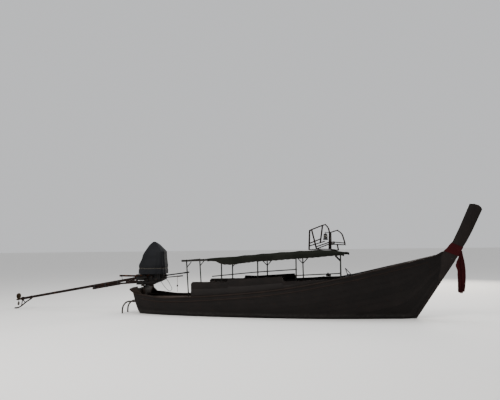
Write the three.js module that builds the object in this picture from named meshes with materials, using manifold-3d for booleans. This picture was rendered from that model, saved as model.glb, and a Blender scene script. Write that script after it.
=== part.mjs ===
// Longtail boat: a planked open passenger boat with a canopy and a pivoted engine on a long shaft.
// Millimetres. X runs forward, Y to port and Z up, from amidships on the centreline at the waterline.
import * as THREE from "three";
import { mergeVertices } from "three/addons/utils/BufferGeometryUtils.js";
import Module from "manifold-3d";

// Hull
const PLANK = 32;
const GAP = 0.4;
const KEEL_WIDTH = 60;
const KEEL_DEPTH = 75;
const SECTION_STEPS = 8;
const SECTION_WEIGHT = 1.5;
const AFT_END = -4440;
const STEM_TOP_X = 5150;
const TRANSOM_RAKE = 0.2;
const TRANSOM_THICKNESS = 45;
const TRANSOM_TOP = 640;
const BOTTOM_AMIDSHIPS = -360;
const BOTTOM_AFT_RISE = 160;
const BOTTOM_FORE_RISE = 25;
const FOREFOOT_X = 3778;
const FOREFOOT_RADIUS = 760;
const STEM_SLOPE = 1.484;
const STEM_WATERLINE_X = 4498;
const GUNWALE_THICKNESS = 45;
const GUNWALE_INBOARD = 75;
const GUNWALE_OUTBOARD = 25;

// Decks, seats and frames
const AFT_DECK_TOP = 500;
const AFT_DECK_END = -2450;
const FOREDECK_START = 2395;
const FOREDECK_END = 5040;
const FOREDECK_DROP = 35;
const DECK_THICKNESS = 28;
const SOLE_TOP = 55;
const SOLE_THICKNESS = 24;
const RIB_DEPTH = 42;
const RIB_WIDTH = 45;
const RIBS = [-1900, -1150, -650, 200, 650, 1400, 1800];
const RISER_TOP = 470;
const RISER_HEIGHT = 70;
const THWART_THICKNESS = 34;
const THWART_WIDTH = 250;
const THWARTS = [-1440, -230, 1000, 2260];
const BOARD_THICKNESS = 28;
const BOARD_INSET = 30;

// Canopy
const RAIL_Y = 600;
const RAIL_RADIUS = 19;
const RAIL_AFT = { x: -2830, z: 1742 };
const RAIL_FORE = { x: 2465, z: 1920.8 };
const POST_Y = 565;
const POST_RADIUS = 21;
const BRACE_RADIUS = 15;
const BOW_RADIUS = 14;
const COVER_THICKNESS = 12;

// Engine and tail
const PIVOT_X = -4460;
const TRUNNION_Z = 985;
const STERN_BEAM_TOP = 840;
const SOCKET_TOP = 888;
const SHAFT_SLOPE = 0.163;
const SHAFT_X = -5279;
const SHAFT_Z = 1073;
const TUBE_RADIUS = 46;
const TUBE_START = -4759.3;
const TUBE_END = -9560;
const STAY_RADIUS = 42;
const STAY_BRACE_RADIUS = 30;
const FLANGE_RADIUS = 68;
const SLEEVE_RADIUS = TUBE_RADIUS + 9;
const BUSH_RADIUS = 28;
const BED_HALF_WIDTH = 140;
const BED_BOTTOM = 935;
const BED_TOP = 1060;
const BED_FRONT = 1120;
const BLOCK_BOTTOM = 1120;
const COVER_BOTTOM = 1305;

const MATERIALS = {
  hullPaint: { color: 0x1b1512, roughness: 0.6, metalness: 0 },
  framePaint: { color: 0x1f2320, roughness: 0.6, metalness: 0 },
  timber: { color: 0x3a2618, roughness: 0.75, metalness: 0 },
  deckWood: { color: 0x4a3322, roughness: 0.8, metalness: 0 },
  paintedSteel: { color: 0x2a2523, roughness: 0.5, metalness: 0.3 },
  steel: { color: 0x6b6a68, roughness: 0.4, metalness: 0.9 },
  castIron: { color: 0x2c2a29, roughness: 0.7, metalness: 0.4 },
  bronze: { color: 0x7a5a2c, roughness: 0.4, metalness: 0.9 },
  canopyCloth: { color: 0x20251f, roughness: 0.9, metalness: 0 },
  tarp: { color: 0x11161f, roughness: 0.8, metalness: 0 },
  sash: { color: 0x6d1018, roughness: 0.9, metalness: 0 },
  rubber: { color: 0x111111, roughness: 0.8, metalness: 0 },
};

const wasm = await Module();
wasm.setup();

// A three.js geometry as a solid, and a solid as a geometry.
function solid(geometry) {
  const bare = new THREE.BufferGeometry();
  const flat = geometry.index ? geometry.toNonIndexed() : geometry;
  bare.setAttribute("position", flat.getAttribute("position").clone());
  const merged = mergeVertices(bare, 1e-3);
  const build = (triVerts) => {
    const vertProperties = merged.attributes.position.array;
    return new wasm.Manifold(new wasm.Mesh({ numProp: 3, vertProperties, triVerts }));
  };
  const triVerts = new Uint32Array(merged.index.array);
  const made = build(triVerts);
  if (made.volume() >= 0) return made;
  for (let i = 0; i < triVerts.length; i += 3) {
    [triVerts[i + 1], triVerts[i + 2]] = [triVerts[i + 2], triVerts[i + 1]];
  }
  return build(triVerts);
}

function geometryOf(made) {
  const mesh = made.getMesh();
  const geometry = new THREE.BufferGeometry();
  geometry.setAttribute("position", new THREE.BufferAttribute(mesh.vertProperties, 3));
  geometry.setIndex(new THREE.BufferAttribute(mesh.triVerts, 1));
  geometry.computeVertexNormals();
  return geometry;
}

const join = (pieces) => pieces.reduce((all, piece) => all.add(piece));

// Basic shapes, each as a solid.
const vec = (x, y, z) => new THREE.Vector3(x, y, z);

function box(x0, x1, y0, y1, z0, z1) {
  const geometry = new THREE.BoxGeometry(x1 - x0, y1 - y0, z1 - z0);
  return solid(geometry.translate((x0 + x1) / 2, (y0 + y1) / 2, (z0 + z1) / 2));
}

function rod(from, to, radius, sides = 10, endRadius = radius) {
  const along = to.clone().sub(from);
  const geometry = new THREE.CylinderGeometry(endRadius, radius, along.length(), sides);
  const turn = new THREE.Quaternion().setFromUnitVectors(vec(0, 1, 0), along.normalize());
  const middle = from.clone().add(to).multiplyScalar(0.5);
  return solid(geometry.applyQuaternion(turn).translate(middle.x, middle.y, middle.z));
}

const ball = (at, radius) =>
  solid(new THREE.SphereGeometry(radius, 8, 6).translate(at.x, at.y, at.z));

// A circle of points round a place, square to a direction.
function circleOf(at, along, radius, sides) {
  const turn = new THREE.Quaternion().setFromUnitVectors(vec(0, 0, 1), along);
  return Array.from({ length: sides }, (_, i) => {
    const angle = (2 * Math.PI * i) / sides;
    const point = vec(radius * Math.cos(angle), radius * Math.sin(angle), 0);
    return point.applyQuaternion(turn).add(at);
  });
}

// A bent rod: one section swept along straight stretches, with a mitre at each corner.
function bentRod(points, radius, sides = 8) {
  const ways = points.slice(1).map((to, i) => to.clone().sub(points[i]).normalize());
  let ring = circleOf(points[0], ways[0], radius, sides);
  const rings = [ring];
  ways.forEach((way, i) => {
    const normal = way.clone().add(ways[Math.min(i + 1, ways.length - 1)]);
    const at = points[i + 1];
    ring = ring.map((p) => {
      const share = at.clone().sub(p).dot(normal) / way.dot(normal);
      return p.clone().addScaledVector(way, share);
    });
    rings.push(ring);
  });
  return loft(rings);
}

// A leaning round post whose two ends are level.
function levelEndedPost(from, to, radius, sides = 12) {
  const up = vec(0, 0, 1);
  return loft([circleOf(from, up, radius, sides), circleOf(to, up, radius, sides)]);
}

// A tube along a smooth curve.
function tube(points, radius, steps, sides = 8) {
  const curve = new THREE.CatmullRomCurve3(points);
  const circle = new THREE.Shape().absarc(0, 0, radius, 0, Math.PI * 2);
  const options = { steps, curveSegments: sides, extrudePath: curve, bevelEnabled: false };
  return solid(new THREE.ExtrudeGeometry(circle, options));
}

// A plate cut to an outline of [x, z] points, between two values of y.
function plate(outline, y0, y1) {
  const shape = new THREE.Shape(outline.map(([x, z]) => new THREE.Vector2(x, z)));
  const geometry = new THREE.ExtrudeGeometry(shape, { depth: y1 - y0, bevelEnabled: false });
  return solid(geometry.rotateX(Math.PI / 2).translate(0, y1, 0));
}

// A closed loft through rings of equal count, each a list of Vector3, with flat caps.
function loft(rings) {
  const count = rings[0].length;
  const vertices = rings.flat().flatMap((p) => [p.x, p.y, p.z]);
  const index = [];
  for (let i = 0; i + 1 < rings.length; i += 1) {
    for (let j = 0; j < count; j += 1) {
      const a = i * count + j;
      const b = i * count + ((j + 1) % count);
      index.push(a, b, b + count, a, b + count, a + count);
    }
  }
  const cap = (ring, base, turned) => {
    const spanOf = (key) => {
      const values = ring.map((p) => p[key]);
      return Math.max(...values) - Math.min(...values);
    };
    const flat = ["x", "y", "z"].sort((a, b) => spanOf(b) - spanOf(a)).slice(0, 2);
    const outline = ring.map((p) => new THREE.Vector2(p[flat[0]], p[flat[1]]));
    const clockwise = THREE.ShapeUtils.isClockWise(outline);
    THREE.ShapeUtils.triangulateShape(outline, []).forEach(([a, b, c]) => {
      const forward = [base + a, base + b, base + c];
      const area = THREE.ShapeUtils.area([outline[a], outline[b], outline[c]]);
      if ((area > 0) === clockwise) forward.reverse();
      index.push(...(turned ? forward.reverse() : forward));
    });
  };
  cap(rings[0], 0, true);
  cap(rings.at(-1), (rings.length - 1) * count, false);
  const geometry = new THREE.BufferGeometry();
  geometry.setAttribute("position", new THREE.Float32BufferAttribute(vertices, 3));
  geometry.setIndex(index);
  return solid(geometry);
}

// Hull lines. Columns: x, height of the gunwale's top, half beam, fullness of the bilge, floor rise.
const LINES = [
  [-4440, 705, 620, 0.9, 0.22],
  [-4050, 648, 700, 0.93, 0.17],
  [-3500, 592, 780, 0.95, 0.13],
  [-2800, 614, 850, 0.97, 0.1],
  [-2150, 652, 890, 0.98, 0.08],
  [-1500, 698, 920, 0.98, 0.07],
  [-750, 760, 938, 0.98, 0.06],
  [0, 835, 945, 0.98, 0.06],
  [700, 925, 938, 0.97, 0.06],
  [1400, 1040, 912, 0.95, 0.08],
  [2100, 1178, 855, 0.9, 0.1],
  [2700, 1296, 790, 0.83, 0.13],
  [3200, 1413, 710, 0.75, 0.15],
  [3600, 1508, 628, 0.68, 0.17],
  [4000, 1602, 530, 0.6, 0.19],
  [4200, 1649, 476, 0.56, 0.2],
  [4400, 1697, 418, 0.53, 0.21],
  [4570, 1738, 362, 0.51, 0.22],
  [4750, 1783, 295, 0.5, 0.23],
  [4930, 1829, 215, 0.5, 0.25],
  [5050, 1860, 150, 0.5, 0.28],
  [5150, 1886, 90, 0.52, 0.3],
];

// The value of a table's column at any x, straight between its rows.
function between(table, x, column) {
  const last = table.length - 1;
  if (x <= table[0][0]) return table[0][column];
  if (x >= table[last][0]) return table[last][column];
  const i = table.findIndex((row) => row[0] > x);
  const share = (x - table[i - 1][0]) / (table[i][0] - table[i - 1][0]);
  return table[i - 1][column] * (1 - share) + table[i][column] * share;
}

const line = (x, column) => between(LINES, x, column);

const gunwaleTop = (x) => line(x, 1);
const halfBeam = (x) => line(x, 2);
const sheer = (x) => gunwaleTop(x) - GUNWALE_THICKNESS - GAP;

// Height of the hull's bottom on the centreline: rocker, forefoot arc, then the raked stem.
function bottom(x) {
  const arcBottom = BOTTOM_AMIDSHIPS + BOTTOM_FORE_RISE;
  const arcTop = arcBottom + FOREFOOT_RADIUS;
  const angle = Math.atan(STEM_SLOPE);
  const lineStart = FOREFOOT_X + FOREFOOT_RADIUS * Math.sin(angle);
  if (x < 0) return BOTTOM_AMIDSHIPS + BOTTOM_AFT_RISE * (x / AFT_END) ** 2;
  if (x < FOREFOOT_X) return BOTTOM_AMIDSHIPS + BOTTOM_FORE_RISE * (x / FOREFOOT_X) ** 2;
  if (x < lineStart) return arcTop - Math.sqrt(FOREFOOT_RADIUS ** 2 - (x - FOREFOOT_X) ** 2);
  return arcTop - FOREFOOT_RADIUS * Math.cos(angle) + (x - lineStart) * STEM_SLOPE;
}

// One side of a section, from the keel to the sheer, as [y, z] points on a conic arc.
function halfSection(x) {
  const low = bottom(x);
  const depth = sheer(x) - low;
  const start = [KEEL_WIDTH / 2, low];
  const turn = [halfBeam(x) * line(x, 3), low + depth * line(x, 4)];
  const end = [halfBeam(x), sheer(x)];
  return Array.from({ length: SECTION_STEPS + 1 }, (_, i) => {
    const t = i / SECTION_STEPS;
    const weights = [(1 - t) ** 2, 2 * t * (1 - t) * SECTION_WEIGHT, t * t];
    const total = weights[0] + weights[1] + weights[2];
    const at = (k) => (weights[0] * start[k] + weights[1] * turn[k] + weights[2] * end[k]) / total;
    return [at(0), at(1)];
  });
}

// The same side moved inwards by a wall's thickness, with its ends on the centreline and the top.
function insetSection(x, inset, above) {
  const side = halfSection(x);
  const moved = side.map(([y, z], i) => {
    const [y0, z0] = side[Math.max(i - 1, 0)];
    const [y1, z1] = side[Math.min(i + 1, side.length - 1)];
    const length = Math.hypot(y1 - y0, z1 - z0);
    return [Math.max(y - (inset * (z1 - z0)) / length, 4), z + (inset * (y1 - y0)) / length];
  });
  moved[0] = [Math.min(KEEL_WIDTH / 2, moved[1][0] - 2), Math.max(moved[0][1], side[0][1] + inset)];
  if (above > 0) moved.push([moved.at(-1)[0], sheer(x) + above]);
  return moved;
}

// The stern leans aft by the transom's rake.
const rake = (x, z) => (x === AFT_END ? -Math.max(z, 0) * TRANSOM_RAKE : 0);

// The hull's form as a solid, its surface set in by a distance and its top raised above the sheer.
function hullForm(inset, above, from, to) {
  const stations = LINES.map((row) => row[0]).filter((x) => x > from && x < to);
  return loft(
    [from, ...stations, to].map((x) => {
      const side = inset ? insetSection(x, inset, above) : halfSection(x);
      const lean = (z) => rake(Math.abs(x - AFT_END) < 200 ? AFT_END : x, z);
      const port = side.map(([y, z]) => vec(x + lean(z), y, z));
      const starboard = side.map(([y, z]) => vec(x + lean(z), -y, z)).reverse();
      return [...port, ...starboard];
    }),
  );
}

const BOW_FACE = 5150;
const outer = hullForm(0, 0, AFT_END, BOW_FACE);
const cavity = hullForm(PLANK, 400, AFT_END - 100, 5060);
const liner = hullForm(PLANK + GAP, 400, AFT_END - 100, 5050);
const ribInside = hullForm(PLANK + RIB_DEPTH, 400, AFT_END - 100, 4900);

const hullPlanking = () => outer.subtract(cavity);

// A keel or stem is a plate whose upper edge follows the stations of the hull's bottom.
const stationsBetween = (from, to) => [
  from,
  ...LINES.map((row) => row[0]).filter((x) => x > from && x < to),
  to,
];
const SCARF_X = 3600;

function keel() {
  const upper = stationsBetween(AFT_END, SCARF_X).map((x) => [x, bottom(x) - GAP]);
  const lower = stationsBetween(AFT_END, SCARF_X).map((x) => [x, bottom(x) - KEEL_DEPTH]);
  return plate([...upper, ...lower.reverse()], -KEEL_WIDTH / 2, KEEL_WIDTH / 2);
}

// The stem rises from the scarf, up the raked bow, into the tall prow board.
const PROW_AFT_EDGE = [
  [5236, 1938], [5349, 1985], [5428, 2055], [5603, 2270], [5805, 2677], [6111, 3359],
];
const PROW_TOP = [[6240, 3352], [6354, 3312], [6420, 3250]];
const PROW_FRONT_EDGE = [[6449, 3180], [6148, 2553], [5991, 2264], [5834, 2020]];

function stemOutline(grown) {
  const rabbet = stationsBetween(SCARF_X + GAP, BOW_FACE + GAP).map((x) => [x, bottom(x) - GAP]);
  const arcTop = BOTTOM_AMIDSHIPS + BOTTOM_FORE_RISE + FOREFOOT_RADIUS;
  const radius = FOREFOOT_RADIUS + KEEL_DEPTH;
  const angle = Math.atan(STEM_SLOPE);
  const forefoot = [1, 0.75, 0.5, 0.25, 0].map((share) => [
    FOREFOOT_X + radius * Math.sin(angle * share),
    arcTop - radius * Math.cos(angle * share),
  ]);
  const aftward = ([x, z]) => [x - grown, z + grown];
  const forward = ([x, z]) => [x + grown, z - grown];
  const front = [...PROW_FRONT_EDGE, [STEM_WATERLINE_X + 1836 / STEM_SLOPE, 1836]].map(forward);
  const heel = [SCARF_X + GAP, bottom(SCARF_X) - KEEL_DEPTH];
  const neck = [[BOW_FACE + GAP, sheer(BOW_FACE) + GUNWALE_THICKNESS]];
  return [
    ...rabbet, ...neck, ...PROW_AFT_EDGE.map(aftward), ...PROW_TOP, ...front, ...forefoot, heel,
  ];
}

const stemProw = () => plate(stemOutline(0), -KEEL_WIDTH / 2, KEEL_WIDTH / 2);

// A board across the stern, cut to the inside of the planking.
function transom() {
  const slab = plate(
    [
      [AFT_END, -400],
      [AFT_END, 0],
      [AFT_END - TRANSOM_TOP * TRANSOM_RAKE, TRANSOM_TOP],
      [AFT_END - TRANSOM_TOP * TRANSOM_RAKE + TRANSOM_THICKNESS, TRANSOM_TOP],
      [AFT_END + TRANSOM_THICKNESS, 0],
      [AFT_END + TRANSOM_THICKNESS, -400],
    ],
    -800,
    800,
  );
  return liner.intersect(slab);
}

// A heavy beam over the transom, with a rising horn at each end.
const HORN_OUTLINE = [
  [-4300, 678], [-4570, 707.5], [-4600, 712], [-4650, 745], [-4726, 805], [-4700, 848], [-4575, 893],
  [-4440, 915], [-4425, 800], [-4300, 690],
];

function sternBeam() {
  const beam = box(-4560, -4350, -200, 200, TRANSOM_TOP + GAP, STERN_BEAM_TOP);
  const ledge = box(-4560, -4445, -538, 538, TRANSOM_TOP + GAP, STERN_BEAM_TOP);
  const arms = box(-4560, -4445, -560, 560, 715, STERN_BEAM_TOP);
  const horns = [-1, 1].map((side) => {
    const [y0, y1] = side > 0 ? [550, 622] : [-622, -550];
    return plate(HORN_OUTLINE, y0, y1);
  });
  return join([beam, ledge, arms, ...horns]);
}

// A rail on top of the planking's edge, on one side.
function gunwale(side) {
  const xs = stationsBetween(AFT_END, 5090).filter((x) => x <= 5090);
  return loft(
    xs.map((x) => {
      const top = gunwaleTop(x);
      const low = top - GUNWALE_THICKNESS;
      const y = halfBeam(x);
      const inner = side * Math.max(y - GUNWALE_INBOARD, 45);
      const outerY = side * (y + GUNWALE_OUTBOARD);
      const lean = rake(x, low);
      return [
        vec(x + lean, inner, low),
        vec(x + lean, outerY, low),
        vec(x + lean, outerY, top),
        vec(x + lean, inner, top),
      ];
    }),
  );
}

// The boards above the gunwale. Columns: x, height of the top.
const BOARD_TOPS = [
  [-2385, 1046], [-2335, 1087], [-1308, 1098], [-1150, 1100], [-1105, 1195], [-700, 1182],
  [-237, 1212], [630, 1265], [690, 1112], [1314, 1141], [1647, 1174], [2139, 1190],
];

function weatherboard(side) {
  return loft(
    BOARD_TOPS.map(([x, top]) => {
      const y0 = side * (halfBeam(x) - BOARD_INSET);
      const y1 = side * (halfBeam(x) - BOARD_INSET - BOARD_THICKNESS);
      const foot = gunwaleTop(x) + GAP;
      const head = Math.max(top, foot + 8);
      return [vec(x, y0, foot), vec(x, y0, head), vec(x, y1, head), vec(x, y1, foot)];
    }),
  );
}

// Decks and floor are cut from the hull's inside.
function foredeck() {
  const top = (x) => sheer(x) - FOREDECK_DROP;
  const xs = stationsBetween(FOREDECK_START, FOREDECK_END);
  const outline = [
    ...xs.map((x) => [x, top(x)]),
    ...xs.map((x) => [x, top(x) - DECK_THICKNESS]).reverse(),
  ];
  return liner.intersect(plate(outline, -1000, 1000));
}

const aftDeck = () =>
  liner.intersect(
    box(-4480 + TRANSOM_THICKNESS, AFT_DECK_END, -1000, 1000, AFT_DECK_TOP - DECK_THICKNESS, AFT_DECK_TOP),
  );

const sole = () =>
  liner.intersect(
    box(AFT_DECK_END, FOREDECK_START - GAP, -1000, 1000, SOLE_TOP - SOLE_THICKNESS, SOLE_TOP),
  );

const aftBulkhead = () =>
  liner.intersect(
    box(AFT_DECK_END - 32, AFT_DECK_END - GAP, -1000, 1000, -400, AFT_DECK_TOP - DECK_THICKNESS - GAP),
  );

const FORE_BULKHEAD_TOP = sheer(FOREDECK_START) - FOREDECK_DROP - DECK_THICKNESS - 1;

const foreBulkhead = () =>
  liner.intersect(
    box(FOREDECK_START + GAP, FOREDECK_START + 32, -1000, 1000, -400, FORE_BULKHEAD_TOP),
  );

// Ribs on one side, joined by the riser that the seats rest on.
function frames(side) {
  const wall = liner.subtract(ribInside);
  const [y0, y1] = side > 0 ? [120, 1000] : [-1000, -120];
  const top = (x) => sheer(x) - 12;
  const ribs = RIBS.map((x) =>
    box(x - RIB_WIDTH / 2, x + RIB_WIDTH / 2, y0, y1, SOLE_TOP + GAP, top(x)),
  );
  const riser = box(AFT_DECK_END + 20, FOREDECK_START - 20, y0, y1, RISER_TOP - RISER_HEIGHT, RISER_TOP);
  return wall.intersect(join([...ribs, riser]));
}

function thwart(x) {
  const board = box(
    x - THWART_WIDTH / 2,
    x + THWART_WIDTH / 2,
    -1000,
    1000,
    RISER_TOP + GAP,
    RISER_TOP + GAP + THWART_THICKNESS,
  );
  return liner.intersect(board);
}

// Canopy posts. Columns: side, x at the foot, x at the top, height of the foot, reach of the forward
// brace, reach of the aft brace.
const SEAT_TOP = RISER_TOP + THWART_THICKNESS + 2 * GAP;
const POSTS = [
  ["starboard", -2585, -2650, AFT_DECK_TOP + GAP, 165, 0],
  ["starboard", -1440, -1436, SEAT_TOP, 0, 0],
  ["starboard", -230, -226, SEAT_TOP, 0, 0],
  ["starboard", 996, 1008, SEAT_TOP, 0, 0],
  ["starboard", 2356, 2377, SEAT_TOP, 0, 165],
  ["port", -2585, -2650, AFT_DECK_TOP + GAP, 165, 0],
  ["port", -1456, -1451, SEAT_TOP, 240, 0],
  ["port", -230, -226, SEAT_TOP, 240, 240],
  ["port", 996, 982, SEAT_TOP, 220, 220],
  ["port", 2214, 2219, SEAT_TOP, 0, 165],
];

const HEAD_CLEARANCE = 1.1;
const railHeight = (x) =>
  RAIL_AFT.z + ((RAIL_FORE.z - RAIL_AFT.z) * (x - RAIL_AFT.x)) / (RAIL_FORE.x - RAIL_AFT.x);

function post([side, footX, topX, footZ, forward, aft]) {
  const y = side === "port" ? POST_Y : -POST_Y;
  const head = railHeight(topX) - RAIL_RADIUS - HEAD_CLEARANCE;
  const lean = (z) => footX + ((topX - footX) * (z - footZ)) / (head - footZ);
  const pieces = [levelEndedPost(vec(footX, y, footZ), vec(topX, y, head), POST_RADIUS)];
  [[forward, 1], [aft, -1]].filter(([reach]) => reach > 0).forEach(([reach, way]) => {
    const low = head - reach - 20;
    const x = topX + way * reach;
    const from = vec(lean(low), y, low);
    pieces.push(rod(from, vec(x, y, railHeight(x) - RAIL_RADIUS - BRACE_RADIUS), BRACE_RADIUS, 8));
  });
  return join(pieces);
}

// A rail along one side, over the posts.
const canopyRail = (side) =>
  rod(
    vec(RAIL_AFT.x, side * POST_Y, RAIL_AFT.z),
    vec(RAIL_FORE.x, side * POST_Y, RAIL_FORE.z),
    RAIL_RADIUS,
    10,
  );

// Bows across the roof, joined by a ridge pole. Columns: x, height of the crown's top.
const CROWN = [
  [-3100, 1735], [-2640, 1782], [-2050, 1822], [-1440, 1862], [-620, 1934], [160, 1990],
  [1000, 2040], [1660, 2070], [2050, 2055], [2360, 2000], [2560, 1935],
];

// Height of the roof frame's top at a point: a cosine from the rail to the crown.
function roofTop(x, y) {
  const share = Math.min(Math.abs(y) / POST_Y, 1);
  const edge = railHeight(x) + RAIL_RADIUS + 2 * BOW_RADIUS + BOW_CLEARANCE;
  const crown = Math.max(between(CROWN, x, 1) - COVER_THICKNESS, edge);
  return edge + (crown - edge) * Math.cos((share * Math.PI) / 2);
}

const BOW_CLEARANCE = 0.8;
const BOWS = [-2650, -2050, -1440, -830, -230, 380, 1000, 1620, 2100, 2440];

function canopyBows() {
  const bows = BOWS.map((x) => {
    const ys = [-RAIL_Y, ...[-1, -0.75, -0.4, 0, 0.4, 0.75, 1].map((share) => share * POST_Y), RAIL_Y];
    return bentRod(ys.map((y) => vec(x, y, roofTop(x, y) - BOW_RADIUS)), BOW_RADIUS, 8);
  });
  const ridgeXs = [-3090, ...BOWS];
  const ridge = ridgeXs.map((x) => vec(x, 0, roofTop(x, 0) - 1.8 * BOW_RADIUS));
  return join([...bows, bentRod(ridge, BOW_RADIUS * 1.15, 8)]);
}

// The canopy's cloth, with a skirt below the rail. Columns: x, height of the skirt's hem.
const COVER_OVERHANG = 26;
const COVER_LIFT = 0.8;
const SKIRT = [
  [-1900, 1742], [-1640, 1740], [-1400, 1650], [-960, 1640], [-660, 1690], [-230, 1726],
  [280, 1750], [955, 1800], [1620, 1838], [2100, 1882], [2370, 1897], [2550, 1903],
];

function canopyCover() {
  const shares = [-1, -0.8, -0.6, -0.4, -0.2, 0, 0.2, 0.4, 0.6, 0.8, 1];
  const edge = RAIL_Y + COVER_OVERHANG;
  return loft(
    SKIRT.map(([x, hem]) => {
      const at = (share, lift, y) => vec(x, share * y, roofTop(x, share * RAIL_Y) + lift);
      const outside = shares.map((share) => at(share, COVER_THICKNESS + COVER_LIFT, edge));
      const inside = shares.map((share) => at(share, COVER_LIFT, edge - COVER_THICKNESS)).reverse();
      const drop = (side, y) => vec(x, side * y, hem);
      return [
        drop(-1, edge), ...outside, drop(1, edge),
        drop(1, edge - COVER_THICKNESS), ...inside, drop(-1, edge - COVER_THICKNESS),
      ];
    }),
  );
}

// The height of a solid's top over a small square round a place.
function topOver(made, x, y, half = 1) {
  return made.intersect(box(x - half, x + half, y - half, y + half, -5000, 5000)).boundingBox().max[2];
}

// Rails lashed along the starboard posts.
const SIDE_RAIL_RADIUS = 17;
const SIDE_RAIL_Y = -(POST_Y + POST_RADIUS + SIDE_RAIL_RADIUS + GAP);
const sideRailAft = () =>
  bentRod(
    [
      vec(-1750, SIDE_RAIL_Y, 1258), vec(-1440, SIDE_RAIL_Y, 1289), vec(-253, SIDE_RAIL_Y, 1398),
      vec(1030, SIDE_RAIL_Y, 1480),
    ],
    SIDE_RAIL_RADIUS,
  );
const sideRailFore = () =>
  bentRod([vec(985, SIDE_RAIL_Y, 1292), vec(2395, SIDE_RAIL_Y, 1361)], SIDE_RAIL_RADIUS);

// The boarding ladder stowed on the roof: two bent side frames with flat treads between them.
const LADDER_HALF = 60;
const LADDER_TUBE = 15;
const TREAD_THICKNESS = 14;
const LADDER_TREADS = [
  [1318, 2255, 1701, 2400], [1318, 2177, 1826, 2320], [1536, 2148, 1948, 2283], [1590, 2098, 1948, 2228],
];

function roofLadder() {
  const cover = canopyCover();
  const footXs = [1312, 1460, 1620, 1740, 1860, 1950, 2100, 2240];
  const foot = (x, y) => vec(x, y, topOver(cover, x, y) + LADDER_TUBE + 0.8);
  const side = (y) =>
    join([
      bentRod(
        [
          foot(1312, y), vec(1344, y, 2678), vec(1700, y, 2808), vec(1853, y, 2856),
          vec(1950, y, 2728), vec(1975, y, 2583), foot(1950, y),
        ],
        LADDER_TUBE,
      ),
      bentRod([vec(1410, y, 2700), foot(1552, y)], LADDER_TUBE),
      bentRod([vec(1759, y, 2822), vec(1675, y, 2278)], LADDER_TUBE),
      bentRod(
        [
          vec(1975, y, 2590), vec(2228, y, 2666), vec(2370, y, 2544), vec(2462, y, 2203),
          vec(1960, y, 2238),
        ],
        LADDER_TUBE,
      ),
      bentRod([...footXs.map((x) => foot(x, y)), vec(2205, y, 2240)], LADDER_TUBE),
    ]);
  const cross = (x, z) => rod(vec(x, -LADDER_HALF, z), vec(x, LADDER_HALF, z), LADDER_TUBE, 8);
  const crossings = [[1344, 2678], [1853, 2856], [2228, 2666], [2462, 2203]];
  const treads = LADDER_TREADS.map(([x0, z0, x1, z1]) =>
    plate(
      [[x0, z0], [x1, z1], [x1, z1 + TREAD_THICKNESS], [x0, z0 + TREAD_THICKNESS]],
      -LADDER_HALF,
      LADDER_HALF,
    ),
  );
  const crossbars = crossings.map(([x, z]) => cross(x, z));
  return join([side(-LADDER_HALF), side(LADDER_HALF), ...crossbars, ...treads]);
}

// A short post on the roof, for a lamp.
function roofPost() {
  const x = 2003;
  const foot = topOver(canopyCover(), x, 0, 38) + 0.5;
  return join([
    rod(vec(x, 0, foot), vec(x, 0, 2610), 26, 12),
    rod(vec(x, 0, 2590), vec(1820, 0, 2610), 11, 8),
    rod(vec(x, 0, foot), vec(x, 0, foot + 14), 38, 12),
  ]);
}

// The bathing ladder at the stern: two bent rails and their treads.
const STERN_LADDER_TUBE = 22;

function sternLadder() {
  const rail = (y) =>
    bentRod(
      [
        vec(-4528, y, 395), vec(-4700, y, 408), vec(-4790, y, 410), vec(-4860, y, 394),
        vec(-4930, y, 354), vec(-5004, y, 272), vec(-5040, y, 178), vec(-5048, y, 60), vec(-5030, y, -420),
      ],
      STERN_LADDER_TUBE,
      8,
    );
  const ys = [-515, -150];
  const face = (z) => AFT_END - z * TRANSOM_RAKE - GAP;
  const pad = (y) =>
    plate([[face(340), 340], [face(460), 460], [face(460) - 12, 460], [face(340) - 12, 340]], y - 32, y + 32);
  const tread = (x, z) => rod(vec(x, ys[0], z), vec(x, ys[1], z), 16, 8);
  return join([...ys.map(rail), ...ys.map(pad), tread(-5043, -60), tread(-5036, -250), tread(-5031, -400)]);
}

// A three-clawed anchor lying on the foredeck, one claw up.
const ANCHOR = { crownX: 2490, crownZ: 1291, ringX: 3120, reach: 200, back: 56, claw: 119 };

function anchor() {
  const deckAt = (x) => sheer(x) - FOREDECK_DROP;
  const shankRadius = 12;
  const ringZ = deckAt(ANCHOR.ringX) + shankRadius + GAP;
  const low = Math.asin((ANCHOR.crownZ - deckAt(2434) - 42) / ANCHOR.reach);
  const claws = [Math.PI / 2, Math.PI + low, -low].map((angle) => {
    const at = (x, r) => vec(x, r * Math.cos(angle), ANCHOR.crownZ + r * Math.sin(angle));
    return bentRod(
      [
        at(ANCHOR.crownX + ANCHOR.claw, 0),
        at(ANCHOR.crownX - ANCHOR.back, ANCHOR.reach),
        at(ANCHOR.crownX + 9, 0),
      ],
      13,
      6,
    );
  });
  const shank = rod(vec(ANCHOR.crownX, 0, ANCHOR.crownZ), vec(ANCHOR.ringX, 0, ringZ), shankRadius, 8);
  return join([shank, ...claws]);
}

// A bitt on the port board's top.
function bitt() {
  const y = halfBeam(1770) - 47;
  const foot = topOver(weatherboard(1), 1770, y, 90) + GAP;
  return join([
    box(1690, 1850, y - 25, y + 25, foot, 1240),
    rod(vec(1755, y, 1236), vec(1755, y, 1300), 24, 10),
  ]);
}

// Cloth tied round the prow's neck, and its hanging tails.
const WRAP_FRONT_LOW = [5765, 1812];
const WRAP_FRONT_HIGH = [5868, 2012];
const WRAP_THICKNESS = 22;

function prowWrap() {
  const half = KEEL_WIDTH / 2;
  const band = plate(
    [WRAP_FRONT_LOW, WRAP_FRONT_HIGH, [5925, 2110], [5590, 2300], [5430, 2085], [5334, 2001]],
    -half - WRAP_THICKNESS,
    half + WRAP_THICKNESS,
  );
  const inside = plate(stemOutline(GAP), -half - GAP, half + GAP);
  return band.subtract(inside);
}

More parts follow.
